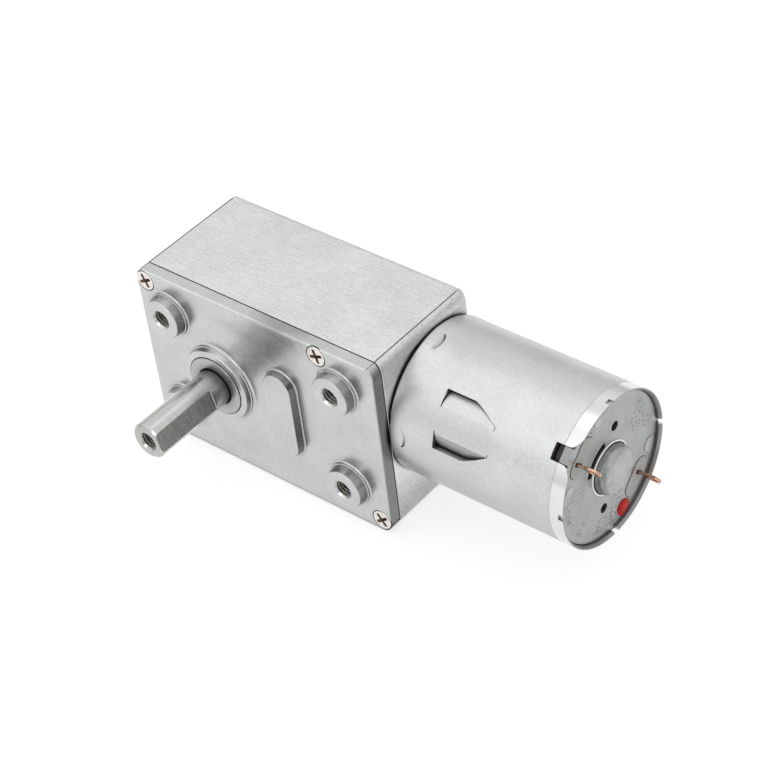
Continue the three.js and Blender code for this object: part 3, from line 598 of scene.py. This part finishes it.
# ---------------------------------------------------------------- gearbox
def box_outline(y, inset=0.0, steps=9):
    """The gearbox's outline at a place along Y: four rounded corners, creased along the milled top."""
    low, high, top = BOX_LOW, BOX_HIGH, BOX_HIGH.z - inset
    r = MILLED_R - inset
    rise = math.asin((MILLED_R - MILLED_OFF - inset) / r)
    half = arc(high.x - MILLED_R, high.z - MILLED_R + MILLED_OFF, r, y, even(0, rise, steps))
    right = half[-1][0]
    half += [(right - CREASE / 2, y, top - CREASE / 2), (right - CREASE, y, top)]
    points = half + [(low.x + high.x - x, y, z) for x, y, z in reversed(half)]
    for x, start in ((low.x + CORNER_R, math.pi), (high.x - CORNER_R, 1.5 * math.pi)):
        points += arc(x, low.z + CORNER_R, CORNER_R - inset, y, even(start, math.pi / 2, steps))
    return points


def seam_loops(y, way):
    """The sunk edge where the castings meet, from the face at y inwards: way is 1 or -1 along Y."""
    edge = y + way * GROOVE_HALF
    return [box_outline(y, GROOVE), box_outline(edge, GROOVE), box_outline(edge + way * 0.01, SEAM_EDGE),
            box_outline(edge + way * SEAM_EDGE)]


def screw_centres():
    for i in range(1, 5):
        low, high = corners(f"cover_screw_{i}")
        yield (low.x + high.x) / 2, (low.z + high.z) / 2


def pin_centres():
    for name in ("wheel_spin", "idler_spin"):
        point = joint_point(name)
        yield point.x, point.z


def disc(x, z, r, y0, y1, segments=48):
    return revolve("disc", [(0, y0), (r, y0), (r, y1), (0, y1)], about_y(x, z), segments)


def rod(deg, at, r, x0, x1, segments=32):
    """A cylinder along X at a radius from the motor's axis."""
    _, y, z = about_x(at, 0, math.radians(deg))
    point = lambda radius, a, t: (a, y + radius * math.cos(t), z + radius * math.sin(t))
    return revolve("rod", [(0, x0), (r, x0), (r, x1), (0, x1)], point, segments)


def screw_rods(r, x0, x1):
    """The two holes for the screws that hold the motor."""
    return [rod(deg, MOTOR_SCREW_AT, r, x0, x1) for deg in (90, -90)]


def housing():
    back, floor, side = BOX_HIGH.y, BOX_HIGH.y - WALL, BOX_HIGH.x
    shaft_post, screw_end, pin_start = BUSH_HIGH.y + 13.9, -4.5, 3
    rounds = [box_outline(back - off, inset) for off, inset in rounding(BACK_ROUND, 7)]
    body = loft("housing", seam_loops(SEAM, 1) + rounds)
    cavity = loft("cavity", [box_outline(y, WALL) for y in (SEAM - 1, floor)])
    pillars = [disc(x, z, POST_R, SEAM - 2, floor + 1) for x, z in screw_centres()]
    pillars.append(disc(SHAFT.x, SHAFT.z, BUSH_R + 1.2, shaft_post, floor + 1))
    for (x, z), r in zip(pin_centres(), (POST_R, IDLER_POST_R)):
        pillars.append(disc(x, z, r, POST_FACE, floor + 1))
    cut(cavity, *pillars)
    bores = [disc(SHAFT.x, SHAFT.z, BUSH_R + 0.05, 1, floor)]
    bores += [disc(x, z, SCREW_BORE_R, SEAM - 1, screw_end) for x, z in screw_centres()]
    bores += [disc(x, z, PIN_BORE_R, pin_start, floor + 1.05) for x, z in pin_centres()]
    cut(body, cavity, *bores, rod(0, 0, CAN_HOLE_R + 0.05, side - WALL - 1, side + 1))
    cut(body, *screw_rods(MOTOR_SCREW_HOLE_R, side - 4, side + 1))
    place(body, "housing_casting", "cast_housing", cast_brushed, "gear_housing")
    crease = max(p[0] for p in box_outline(0) if p[2] > BOX_HIGH.z - 0.001) - CREASE / 2
    middle = (BOX_LOW.x + BOX_HIGH.x) / 2
    # the seam groove is painted near black: painted shade
    paint_where(body, gap_shade, lambda c, n: SEAM + 0.001 < c.y < SEAM + GROOVE_HALF + 0.008)
    # the crease along the top is painted dark grey: painted shade
    paint_where(body, crease_shade, lambda c, n: c.z > BOX_HIGH.z - CREASE and c.y < back - BACK_ROUND and
                abs(abs(c.x - middle) - crease + middle) < CREASE / 2)


def pill_outline(y, grow):
    return [p for way, start in ((1, 0), (-1, math.pi)) for p in
            arc(RIB_X, SHAFT.z + way * RIB_HALF, RIB_R + grow, y, even(start, math.pi, 14))]


def threaded_hole(x, z, mouth, depth, threads=3.6, segments=48):
    """A tool that cuts an M3 hole from the face at mouth towards +Y, chamfered, with a real thread."""
    row, outside, lip = M3_PITCH / 12, 0.6, M3_MAJOR + 0.14
    places = [mouth + row * k for k in range(int(threads / row) + 1)]
    loops = []
    for y in [mouth - outside, mouth - 1e-3, *places, mouth + depth]:
        loop = []
        for k, t in enumerate(even(0, 2 * math.pi, segments)[:-1]):
            phase = ((y - mouth) / M3_PITCH - k / segments) % 1.0
            tooth = min(1.0, max(0.0, 1.25 - 2.5 * abs(phase - 0.5)))
            r = M3_MINOR + (M3_MAJOR - M3_MINOR) * tooth if mouth < y < mouth + threads else M3_MINOR
            r = max(r, min(lip, lip - (y - mouth)))
            loop.append((x + r * math.cos(t), y, z + r * math.sin(t)))
        loops.append(loop)
    return loft("thread", loops)


def foot_line(wide, curve_from, curve_to):
    """The start of a raised profile: sunk in the cover, with a hollow round its foot."""
    hollow = hollow_curve(curve_from, FOOT, curve_to, FOOT - FOOT_FILLET)
    return [(0, SUNK), (wide, SUNK), (wide, FOOT)] + hollow


def boss(x, z):
    profile = foot_line(BOSS_FOOT_R + 0.1, BOSS_FOOT_R, BOSS_R + 0.4)
    profile += rounded([(BOSS_R + 0.28, FOOT - FOOT_STEP), (BOSS_R, BOSS_FACE, 0.2), (0, BOSS_FACE)])
    return revolve("boss", profile, about_y(x, z), 72)


def shaft_ring():
    """The raised ring that carries the front bush, with a fine groove where the two meet."""
    face, round_r = COVER_FACE - RING_HEIGHT, 0.22
    groove = face + round_r
    profile = foot_line(RING_FOOT_R + 0.15, RING_FOOT_R, RING_R + 0.4)
    profile += rounded([(RING_R + 0.26, FOOT - FOOT_STEP), (RING_R, face, round_r), (BUSH_R + 0.13, face)])
    profile += [(BUSH_R + 0.11, groove), (0, groove)]
    return revolve("ring", profile, about_y(SHAFT.x, SHAFT.z), 128)


def rib():
    top, spread, draft = COVER_FACE - RIB_HEIGHT, 0.5, -0.16
    loops = [pill_outline(SUNK, spread), pill_outline(FOOT, spread)]
    loops += [pill_outline(a, r) for r, a in hollow_curve(0.42, FOOT, 0.0, FOOT - 0.4)]
    loops += [pill_outline(top + off, draft - inset) for off, inset in rounding(0.14, 4)]
    return loft("rib", loops)


def cover():
    face, inner = COVER_FACE, SEAM - COVER_GAP
    rounds = [box_outline(face + off, inset) for off, inset in rounding(FRONT_ROUND, 6)]
    body = loft("cover", seam_loops(inner, -1) + rounds)
    spots = [(BOSS_MID[0] + i * BOSS_PITCH[0] / 2, BOSS_MID[1] + j * BOSS_PITCH[1] / 2)
             for i in (-1, 1) for j in (-1, 1)]
    union(body, shaft_ring(), rib(), *[boss(x, z) for x, z in spots])
    cut(body, *[threaded_hole(x, z, BOSS_FACE, BOSS_HOLE_DEPTH) for x, z in spots])
    ring = SCREW_R + 0.13
    sink = [(0, face - 1), (ring + 0.08, face - 1), (ring + 0.08, face), (ring, face + 0.06),
            (ring, face + 0.3), (1.05, face + 0.95), (1.05, inner + 1), (0, inner + 1)]
    cut(body, *[revolve("sink", sink, about_y(x, z), 48) for x, z in screw_centres()])
    cut(body, *[disc(x, z, PIN_BORE_R, SEAM - 1.05, inner + 1) for x, z in pin_centres()],
        disc(SHAFT.x, SHAFT.z, BUSH_R + 0.01, face - 3, inner + 1, 128))
    place(body, "cover_casting", "cast_cover", cast_satin, "gear_cover")
    centres = list(screw_centres())
    # painted shade, near black: the seam groove, the gap round each screw head and the groove round the bush
    paint_where(body, gap_shade, lambda c, n: inner - GROOVE_HALF - 0.008 < c.y < inner - 0.001 or
                (face + 0.04 < c.y < inner and any(hole_far(c, x, z) < ring + 0.02 for x, z in centres)) or
                (c.y < face and abs(hole_far(c, SHAFT.x, SHAFT.z) - BUSH_R - 0.06) < 0.075 and
                 c.y > face - RING_HEIGHT + 0.04))
    # the inside of the bosses' threaded holes is painted darker: painted shade
    paint_where(body, thread_shade, lambda c, n: c.y > BOSS_FACE + 0.25 and
                any(hole_far(c, x, z) < M3_MAJOR + 0.1 for x, z in spots))


def cover_screw(index, x, z, turn):
    """A countersunk screw with a tapered cross recess."""
    top, end = COVER_FACE + 0.04, corners(f"cover_screw_{index}")[1].y
    profile = rounded([(0, top), (SCREW_R, top, 0.07), (SCREW_R, top + 0.14), (0.95, top + 0.82),
                       (0.95, end), (0, end)])
    body = revolve("screw", profile, about_y(x, z), 48)
    wide, half, deep = 1.15, 0.27, 0.75
    for quarter in (0, 90):
        along, across = turned_xz(turn + quarter)
        loops = []
        for y, long, thick in ((top - 0.3, wide, half), (top, wide, half), (top + deep, 0.3, half * 0.55)):
            corner = Vector((x, y, z))
            nose = [(long, -0.5), (long + thick * 0.5, 0), (long, 0.5)]
            loop = [corner + along * u + across * thick * 2 * v for u, v in nose]
            loop += [corner - along * u - across * thick * 2 * v for u, v in nose]
            loops.append(loop)
        cut(body, loft("cross", loops))
    place(body, f"screw_{index}", "screw_nickel", nickel, f"cover_screw_{index}")
    inside = lambda c, n: top + 0.03 < c.y < top + deep + 0.02 and hole_far(c, x, z) < 1.35
    # the cross recess is painted dark brown
    paint_where(body, screw_recess_dark, inside)


def bush():
    low, high, bore = BUSH_LOW.y, BUSH_HIGH.y, SHAFT_R + RUNNING
    lip = 0.2
    profile = rounded([(bore, low + 0.4), (bore + lip, low, 0.05), (BUSH_R - 0.01, low, 0.1),
                       (BUSH_R - 0.01, high), (bore, high)], 3)
    body = revolve("bush", profile, about_y(SHAFT.x, SHAFT.z), 128)
    place(body, "bush_front", "sintered_bush", bush_metal, "output_bush_front")
    # the bore's chamfer is painted dark brown
    paint_where(body, bore_chamfer_dark, lambda c, n: hole_far(c, SHAFT.x, SHAFT.z) < bore + lip - 0.02)


def shaft():
    tip, rear, r = SHAFT_LOW.y, SHAFT_HIGH.y, SHAFT_R
    profile = rounded([(0, tip), (r - 0.36, tip, 0.05), (r, tip + 0.36, 0.12), (r, rear - 0.4),
                       (r - 0.4, rear), (0, rear)], 4)
    body = revolve("shaft", profile, about_y(SHAFT.x, SHAFT.z), 128)
    out, side = turned_xz(FLAT_ANGLE)
    step, near = tip + FLAT_LENGTH, r - FLAT_DEPTH
    line = [(near, tip - 1), (near, step - 0.15), (near + 0.05, step - 0.04), (near + 0.15, step),
            (r + 1, step), (r + 1, tip - 1)]
    cut(body, loft("flat", [[Vector((SHAFT.x, y, SHAFT.z)) + out * u + side * w for u, y in line]
                            for w in (-r - 1, r + 1)]))
    cut(body, threaded_hole(SHAFT.x, SHAFT.z, tip, 8.0))
    place(body, "shaft_output", "ground_steel", shaft_steel, "output_shaft", body="output")
    # the inside of the shaft's threaded hole is painted darker: painted shade
    paint_where(body, thread_shade, lambda c, n: c.y > tip + 0.25 and
                hole_far(c, SHAFT.x, SHAFT.z) < M3_MAJOR + 0.05)
    # the milled flat: real tool marks, with painted shade in its darker tone
    paint_where(body, milled_flat_and_shade, lambda c, n: c.y < step and n.dot(out) > 0.995 and
                (c - Vector((SHAFT.x, 0, SHAFT.z))).dot(out) < near + 0.02)


# ---------------------------------------------------------------- motor
def on_can(deg, x, s, r):
    """A point at a radius over the can, s millimetres round it from an angle."""
    t = math.radians(deg) + s / CAN_R
    return x, -r * math.cos(t), AXIS_Z + r * math.sin(t)


def punch(deg, outline, r0, r1):
    """A prism through the can's wall, from an outline of (x, s) pairs."""
    return loft("punch", [[on_can(deg, x, s, r) for x, s in outline] for r in (r0, r1)])


def tab_edge(x):
    """How far a tab reaches from its hinge at a place along the motor."""
    run = max(0.0, (x - TAB_BEND) / (TAB_TIP - TAB_BEND))
    return TAB_W - (TAB_W - TAB_TIP_W) * run ** 1.25


def tab_leaf(hinge, side):
    """A tab bent in about its hinge: a folded sheet that starts inside the wall."""
    thick, start, gap, rows, columns = 0.72, -0.4, 0.12, 26, 14
    slope, fold, x0, x1 = math.tan(math.radians(TAB_TILT)), 1.0, TAB_X + 0.14, TAB_TIP - 0.14
    loops = []
    for x in even(x0, x1 - x0, rows):
        across = even(start, tab_edge(x) - gap - start, columns)
        top = [(s, 0.02 + (slope * s * s / (s + fold) if s > 0 else 0)) for s in across]
        loop = [on_can(hinge, x, side * s, CAN_R - d) for s, d in top]
        loop += [on_can(hinge, x, side * s, CAN_R - d - thick) for s, d in reversed(top)]
        loops.append(loop)
    return loft("leaf", loops)


def dent(deg):
    """A crescent staked into the can's front end: shallow by the gearbox, deep along its curved edge."""
    half, sag, deep, x0, steps = 1.7, 1.0, 0.85, CAN_LOW.x + 2.1, 18
    top, points, faces = 0.5, [], []
    for i in range(steps + 1):
        s = half * (2 * i / steps - 1) * 0.995
        width = sag * math.sqrt(1 - (s / half) ** 2) + 0.02
        floor = deep * width / sag
        points += [on_can(deg, x0, s, CAN_R + 0.03), on_can(deg, x0 + width, s, CAN_R - floor),
                   on_can(deg, x0 + width, s, CAN_R + top), on_can(deg, x0, s, CAN_R + top)]
    for i in range(steps):
        for k in range(4):
            n = (k + 1) % 4
            faces.append((4 * i + k, 4 * i + n, 4 * i + 4 + n, 4 * i + 4 + k))
    faces += [(0, 1, 2, 3), tuple(4 * steps + k for k in range(4))]
    return make("dent", points, faces)


def can():
    x0, x1, r, inner = CAN_LOW.x, CAN_HIGH.x, CAN_R, CAN_R - CAN_WALL
    band = x1 - BAND
    seat = PLATE_FACE - PLATE_T - 0.05
    profile = rounded([(CAN_HOLE_R, x0), (r, x0, CAN_FRONT_R), (r, band), (r - 0.05, band + 0.06),
                       (r - 0.05, band + 0.12), (r, band + 0.16), (r, x1, 0.08), (RIM_R + 0.22, x1, 0.03),
                       (RIM_R, x1 - 0.4), (RIM_R, seat), (inner, seat), (inner, x0 + 1, 0.3),
                       (CAN_HOLE_R, x0 + 1)], 7)
    body = revolve("can", profile, about_x, 240)
    taper = [(x, tab_edge(x)) for x in even(TAB_BEND, TAB_TIP - TAB_BEND, 6)]
    slot = [(TAB_X, 0), (TAB_X, TAB_W), *taper, (TAB_TIP, 0)]
    for hinge, side in TABS:
        cut(body, punch(hinge, [(x, side * s) for x, s in slot], r - 1.6, r + 0.6))
        union(body, tab_leaf(hinge, side))
    cut(body, *[dent(deg) for deg in DENTS])
    deep, half, flare, bell, lip = x1 - 3.6, 1.3, 1.75, 1.5, x1 + 1
    mouth = [(x1 - bell * (1 - t), half + flare * t ** 2.2) for t in even(0, 1, 8)]
    side_line = [(deep, half - 0.1), (deep + 0.1, half), *mouth, (lip, half + flare + 0.3)]
    notch = side_line + [(x, -s) for x, s in reversed(side_line)]
    cut(body, punch(NOTCH_ROLL, notch, inner - 1, r + 1))
    nick, nick_half = x1 - 0.8, 0.5
    small = [(nick, -nick_half), (nick, nick_half), (lip, nick_half), (lip, -nick_half)]
    cut(body, *[punch(deg, small, inner - 1, r + 1) for deg in NICKS])
    cut(body, *screw_rods(MOTOR_SCREW_HOLE_R - 0.05, x0 - 1, x0 + 2))
    place(body, "can_shell", "plated_can", can_zinc, "motor_can")
    outward = lambda c, n: n.dot(Vector((0, c.y, c.z - AXIS_Z)).normalized())
    # the can's rear band: smoother zinc with a painted highlight in its lighter tone
    paint_where(body, band_smooth_and_highlight, lambda c, n: c.x > band + 0.14 and axis_far(c) > r - 0.3 and
                n.x < 0.6 and outward(c, n) > 0.8)
    # the rim's rear face and inner part are painted darker zinc: painted shade
    paint_where(body, rim_shade, lambda c, n: c.x > band and (n.x > 0.9 or axis_far(c) < RIM_R + 0.2))
    below = lambda c, hinge: 0 < hinge - math.degrees(math.atan2(c.z - AXIS_Z, -c.y)) % 360 < 14
    # the lower tabs' leaves are painted darker zinc: painted shade
    paint_where(body, tab_shade, lambda c, n: TAB_X < c.x < TAB_TIP and axis_far(c) < r - 0.1 and
                outward(c, n) > 0.3 and any(below(c, hinge) for hinge, side in TABS if side < 0))
    # the rim's inner wall is painted dark grey: painted shade
    paint_where(body, crease_shade, lambda c, n: seat < c.x < x1 - 0.41 and axis_far(c) < RIM_R + 0.02)
    # the deep end of the notch is painted dark brown: painted shade
    paint_where(body, notch_shade, lambda c, n: deep - 0.05 < c.x < deep + 0.7 and abs(outward(c, n)) < 0.6 and
                c.y < 0 and c.z > AXIS_Z and axis_far(c) > inner)


def oval(deg, x0, x1, grow, edge=0.0, steps=14):
    """An oval prism along X, long across the radius, with its outer edge rounded."""
    out, across = radial(deg)
    centre, loops = Vector((0, 0, AXIS_Z)) + out * PAD_AT, []
    rows = [(x0, 0.0), (x1 - edge, 0.0)]
    if edge:
        rows += [(x1 - edge + edge * math.sin(a), edge * (1 - math.cos(a))) for a in (0.5, 1.0, math.pi / 2)]
    for x, inset in rows:
        r, loop = PAD_R + grow - inset, []
        for sign in (1, -1):
            for a in even(0, math.pi, steps):
                u, v = r * math.sin(a) * sign, r * math.cos(a) * sign
                loop.append(Vector((x, 0, 0)) + centre + out * v + across * (u + sign * PAD_HALF))
        loops.append(loop)
    return loft("oval", loops)


def end_plate():
    x1, x0, r = PLATE_FACE, PLATE_FACE - PLATE_T, PLATE_R
    ring, bead = x1 + 0.04, x1 + 0.22
    # from the rim inwards: the flat plate, a low ring, the bead round the hub, and the hub
    profile = rounded([(0, x0), (r, x0), (r, x1, 0.1), (5.62, x1), (5.54, ring), (4.36, ring, 0.03),
                       (4.3, bead - 0.06, 0.03), (4.16, bead, 0.05), (4.04, bead, 0.04),
                       (3.96, ring + 0.02, 0.03), (3.86, ring + 0.02, 0.08), (3.68, PLATE_HIGH.x, 1.2),
                       (0, PLATE_HIGH.x)], 6)
    body = revolve("plate", profile, about_x, 160)
    lug = [(x0 - 0.4, -LUG_HALF), (x0 - 0.4, LUG_HALF), (x1 - 0.02, LUG_HALF), (x1 - 0.02, -LUG_HALF)]
    union(body, punch(NOTCH_ROLL, lug, PLATE_R - 0.18, PLATE_R + 0.38))
    union(body, *[rod(*stake, x0 + 0.3, x1 + mid_light) for stake, mid_light in zip(STAKES, (0.06, 0.05, 0.05))])
    cut(body, rod(0, 0, HUB_HOLE_R, x0 - 1, x1 + 1.1))
    cut(body, *[rod(deg, VENT_AT, VENT_R, x0 - 1, x1 + 1) for deg in VENTS])
    turns = [math.radians(deg) for deg in even(SLOT_FROM, SLOT_SPAN, 18)]
    window = [(SLOT_OUTER, t) for t in turns] + [(SLOT_INNER, t) for t in reversed(turns)]
    cut(body, loft("slot", [[about_x(q, x, t) for q, t in window] for x in (x0 - 1, x1 + 1)]))
    cut(body, *[oval(PAD_ROLL + turn, x0 - 1, x1 + 1, 0.08) for turn in (0, 180)])
    place(body, "plate_end", "end_plate_steel", stippled_plate(), "end_plate")
    # the slot's walls are painted near black: painted shade
    paint_where(body, gap_shade, lambda c, n: c.x < x1 - 0.02 and abs(n.x) < 0.5 and 3.9 < axis_far(c) < 7.4)
    paint_where(body, bush_metal, lambda c, n: c.x > x1 + 0.045 and n.x > 0.9 and axis_far(c) > 8)
    # the bead round the hub gets the lighter zinc as a painted highlight
    paint_where(body, band_smooth_and_highlight, lambda c, n: c.x > ring + 0.08 and 4.0 < axis_far(c) < 4.34)
    # the plate's edge and the lug are painted darker zinc: painted shade
    paint_where(body, rim_shade, lambda c, n: axis_far(c) > PLATE_R + 0.02)


def brush_holder():
    low, high = corners("brush_holder")
    x1, inner, outer = PLATE_FACE - PLATE_T - 0.05, 4.6, 11.2
    body = revolve("holder", [(inner, low.x), (outer, low.x), (outer, x1), (inner, x1)], about_x, 96)
    union(body, *[oval(PAD_ROLL + turn, x1 - 0.5, high.x, 0.0, 0.08) for turn in (0, 180)])
    cut(body, *[blade_prism(deg, low.x - 2, high.x + 2, 0.05, 0.3) for deg in TERMINALS.values()])
    place(body, "holder_brush", "holder_plastic", pad_plastic(), "brush_holder")
    # the holder's face, seen through the plate's slot, is painted near black: painted shade
    paint_where(body, gap_shade, lambda c, n: c.x < PLATE_FACE - 0.5)


def blade_prism(deg, x0, x1, grow, half):
    """A straight slab in a terminal's plane."""
    r0, r1 = BLADE_AT - BLADE_W / 2 - grow, BLADE_AT + BLADE_W / 2 + grow
    out, across = radial(deg)
    loops = [[Vector((x, 0, AXIS_Z)) + out * r + across * half * side for x, r in
              ((x0, r0), (x1, r0), (x1, r1), (x0, r1))] for side in (-1, 1)]
    return loft("slab", loops)


def terminal(name, deg):
    """A copper solder tag: a narrow neck, a wider rounded end with an eyelet, and a slight twist."""
    low, high = corners(name)
    x0, x1, half, wide, neck, nose = low.x, high.x, 0.2, BLADE_W / 2, NECK_W / 2, 0.8
    eye_back, eye_long, eye_wide = 1.25, 0.85, 0.45
    side = [(x0, wide), (PLATE_FACE, wide), (PLATE_FACE + 0.01, neck), (x1 - 2.6, neck),
            (x1 - 2.45, neck + 0.03), (x1 - 2.0, wide)]
    end = [(x1 - nose + nose * math.sin(a), wide * math.cos(a)) for a in even(0, math.pi, 14)]
    outline = side + end + [(x, -w) for x, w in reversed(side)]
    body = loft("tag", [[(x, w, h) for x, w in outline] for h in (-half, half)])
    eye = [(x1 - eye_back + eye_long * math.cos(a), eye_wide * math.sin(a))
           for a in even(0, 2 * math.pi, 24)[:-1]]
    cut(body, loft("eye", [[(x, w, h) for x, w in eye] for h in (-1, 1)]))
    modify(body, "BEVEL", width=0.05, segments=2, limit_method="ANGLE", angle_limit=math.radians(40))
    out, across = radial(deg)
    for vertex in body.data.vertices:
        x, w, h = vertex.co
        twist = math.radians(BLADE_TWIST) * min(1.0, max(0.0, x - PLATE_FACE - 0.4))
        w, h = w * math.cos(twist) - h * math.sin(twist), w * math.sin(twist) + h * math.cos(twist)
        vertex.co = Vector((x, 0, AXIS_Z)) + out * (BLADE_AT + w) + across * h
    place(body, "tag_" + name.split("_")[1], "copper", copper, name)


def polarity_dot():
    low, high = corners("polarity_dot")
    cy, cz, r = (low.y + high.y) / 2, (low.z + high.z) / 2, (high.z - low.z) / 2
    point = lambda radius, a, t: (a, cy + radius * math.cos(t) * (1 + 0.05 * math.cos(2 * t + 1)),
                                  cz + radius * math.sin(t) * (1 + 0.04 * math.cos(3 * t)))
    dome = [(0, low.x)]
    dome += [(r * math.cos(a), low.x + 0.34 * math.sin(a)) for a in even(0, math.pi / 2, 8)]
    body = revolve("dot", dome, point, 48)
    place(body, "dot_red", "red_dot", red_paint(), "polarity_dot")


housing()
cover()
for index, ((x, z), turn) in enumerate(zip(screw_centres(), (28, 20, 38, 12)), 1):
    cover_screw(index, x, z, turn)
bush()
shaft()
can()
end_plate()
brush_holder()
for name, deg in TERMINALS.items():
    terminal(name, deg)
polarity_dot()

# CAD nodes' materials: the inner works keep their CAD shape
CAD_LOOKS = {
    "motor_screw_upper motor_screw_lower": nickel,
    "output_bush_rear motor_bearing_front motor_bearing_rear wheel_spacer idler_spacer": sintered,
    "wheel_pin idler_pin motor_shaft output_spacer output_washer idler_washer": plain_steel,
    "output_gear idler_gear idler_pinion wheel_pinion": gear_steel,
    "worm_wheel worm": gear_brass,
    "magnet_upper magnet_lower": ferrite,
    "armature_core": lamination,
    "armature_coil_1 armature_coil_2 armature_coil_3": copper_wire,
    "commutator brush_arm_front brush_arm_rear": copper,
    "brush_front brush_rear": carbon,
    "shaft_washer_front shaft_washer_rear": fibre,
    "gear_housing gear_cover motor_can": cast_satin,
    "cover_screw_1 cover_screw_2 cover_screw_3 cover_screw_4": nickel,
    "output_bush_front": bush_metal,
    "output_shaft": shaft_steel,
    "end_plate": can_zinc,
    "terminal_front terminal_rear": copper,
    "brush_holder polarity_dot": fibre,
}
for nodes, material in CAD_LOOKS.items():
    for node in nodes.split():
        materials = frame["nodes"][node].data.materials
        materials.clear()
        materials.append(material)


# ---------------------------------------------------------------- stage, in metres
AIM = (0.02, 0.0, 0.016)
FLOOR_HALF, FLOOR_DROP, FLOOR_GLOW = 1.5, 0.00005, 0.74
# the surroundings' greys, from straight below (0) over the horizon (0.5) to straight above (1)
SKY = [(0.0, 0.9), (0.46, 0.75), (0.54, 0.60), (0.66, 0.8), (0.80, 1.04), (1.0, 0.92)]
BRIGHT_SIDE = (-0.53, -0.66, 0.53)


def floor():
    mesh = bpy.data.meshes.new("floor")
    points = [(x * FLOOR_HALF, y * FLOOR_HALF, 0) for x, y in ((-1, -1), (1, -1), (1, 1), (-1, 1))]
    mesh.from_pydata(points, [], [(0, 1, 2, 3)])
    obj = bpy.data.objects.new("floor", mesh)
    obj.location.z = -FLOOR_DROP
    bpy.context.scene.collection.objects.link(obj)
    s = Shader("floor_white", Metallic=0.0, Roughness=0.7)
    grain = s.noise(0.02, detail=2)
    s.link("Base Color", s.shade((0.30, 0.30, 0.30, 1), s.total(1.0, s.centred(grain, 0.01))))
    s.bsdf.inputs["Emission Color"].default_value = (1, 1, 1, 1)
    s.bsdf.inputs["Emission Strength"].default_value = FLOOR_GLOW
    s.bsdf.inputs["Specular IOR Level"].default_value = 0.2
    mesh.materials.append(s.material)


def area_light(name, spot, size, power):
    """A square lamp turned to the middle of the part."""
    light = bpy.data.lights.new(name, "AREA")
    light.shape, light.size, light.size_y, light.energy = "RECTANGLE", size, size, power
    obj = bpy.data.objects.new(name, light)
    obj.location = spot
    obj.rotation_euler = (Vector(AIM) - Vector(spot)).to_track_quat("-Z", "Y").to_euler()
    bpy.context.scene.collection.objects.link(obj)


def world():
    """Soft studio surroundings: light overhead, greyer at the horizon, brightest high at the front left."""
    scene = bpy.context.scene
    scene.world = bpy.data.worlds.new("studio")
    scene.world.use_nodes = True
    n = Nodes(scene.world.node_tree)
    way = n.add("TexCoord").outputs["Generated"]
    ramp = n.add("ValToRGB", Fac=n.total(n.times(n.axes(way)[2], 0.5), 0.5))
    for position, _ in SKY[1:-1]:
        ramp.color_ramp.elements.new(position)
    for element, (_, grey) in zip(ramp.color_ramp.elements, SKY):
        element.color = (grey, grey, grey, 1)
    toward = n.add("VectorMath", {"operation": "DOT_PRODUCT"}, i0=way, i1=BRIGHT_SIDE).outputs["Value"]
    glow = n.ramp(toward, 0.45, 1.0, 1.0, 1.42)
    background = n.tree.nodes["Background"]
    n.tree.links.new(ramp.outputs[0], background.inputs["Color"])
    n.tree.links.new(glow.outputs[0], background.inputs["Strength"])
    scene.view_settings.view_transform = "Standard"


def camera():
    """The viewing angle: azimuth from -Y towards +X, elevation, and a small roll about the view."""
    azimuth, elevation, roll = math.radians(43.73), math.radians(40.28), math.radians(-7.38)
    target, distance = Vector((19.463, 1.530, 12.000)) * MM, 350.70 * MM
    back = Vector((math.sin(azimuth) * math.cos(elevation), -math.cos(azimuth) * math.cos(elevation),
                   math.sin(elevation)))
    level = Vector((math.cos(azimuth), math.sin(azimuth), 0))
    raised = back.cross(level)
    right = level * math.cos(roll) + raised * math.sin(roll)
    up = raised * math.cos(roll) - level * math.sin(roll)
    data = bpy.data.cameras.new("camera")
    data.sensor_width, data.lens = 36.0, 107.63
    data.clip_start, data.clip_end = 0.01, 10.0
    obj = bpy.data.objects.new("camera", data)
    turn = Matrix((right, up, back)).transposed().to_4x4()
    obj.matrix_world = Matrix.Translation(target + back * distance) @ turn
    bpy.context.scene.collection.objects.link(obj)
    bpy.context.scene.camera = obj


floor()
world()
camera()
area_light("overhead", (-0.05, 0.05, 0.6), 0.4, 0.3)
area_light("front", (0.12, -0.55, 0.32), 0.22, 0.35)
area_light("right", (0.6, -0.1, 0.25), 0.35, 0.12)
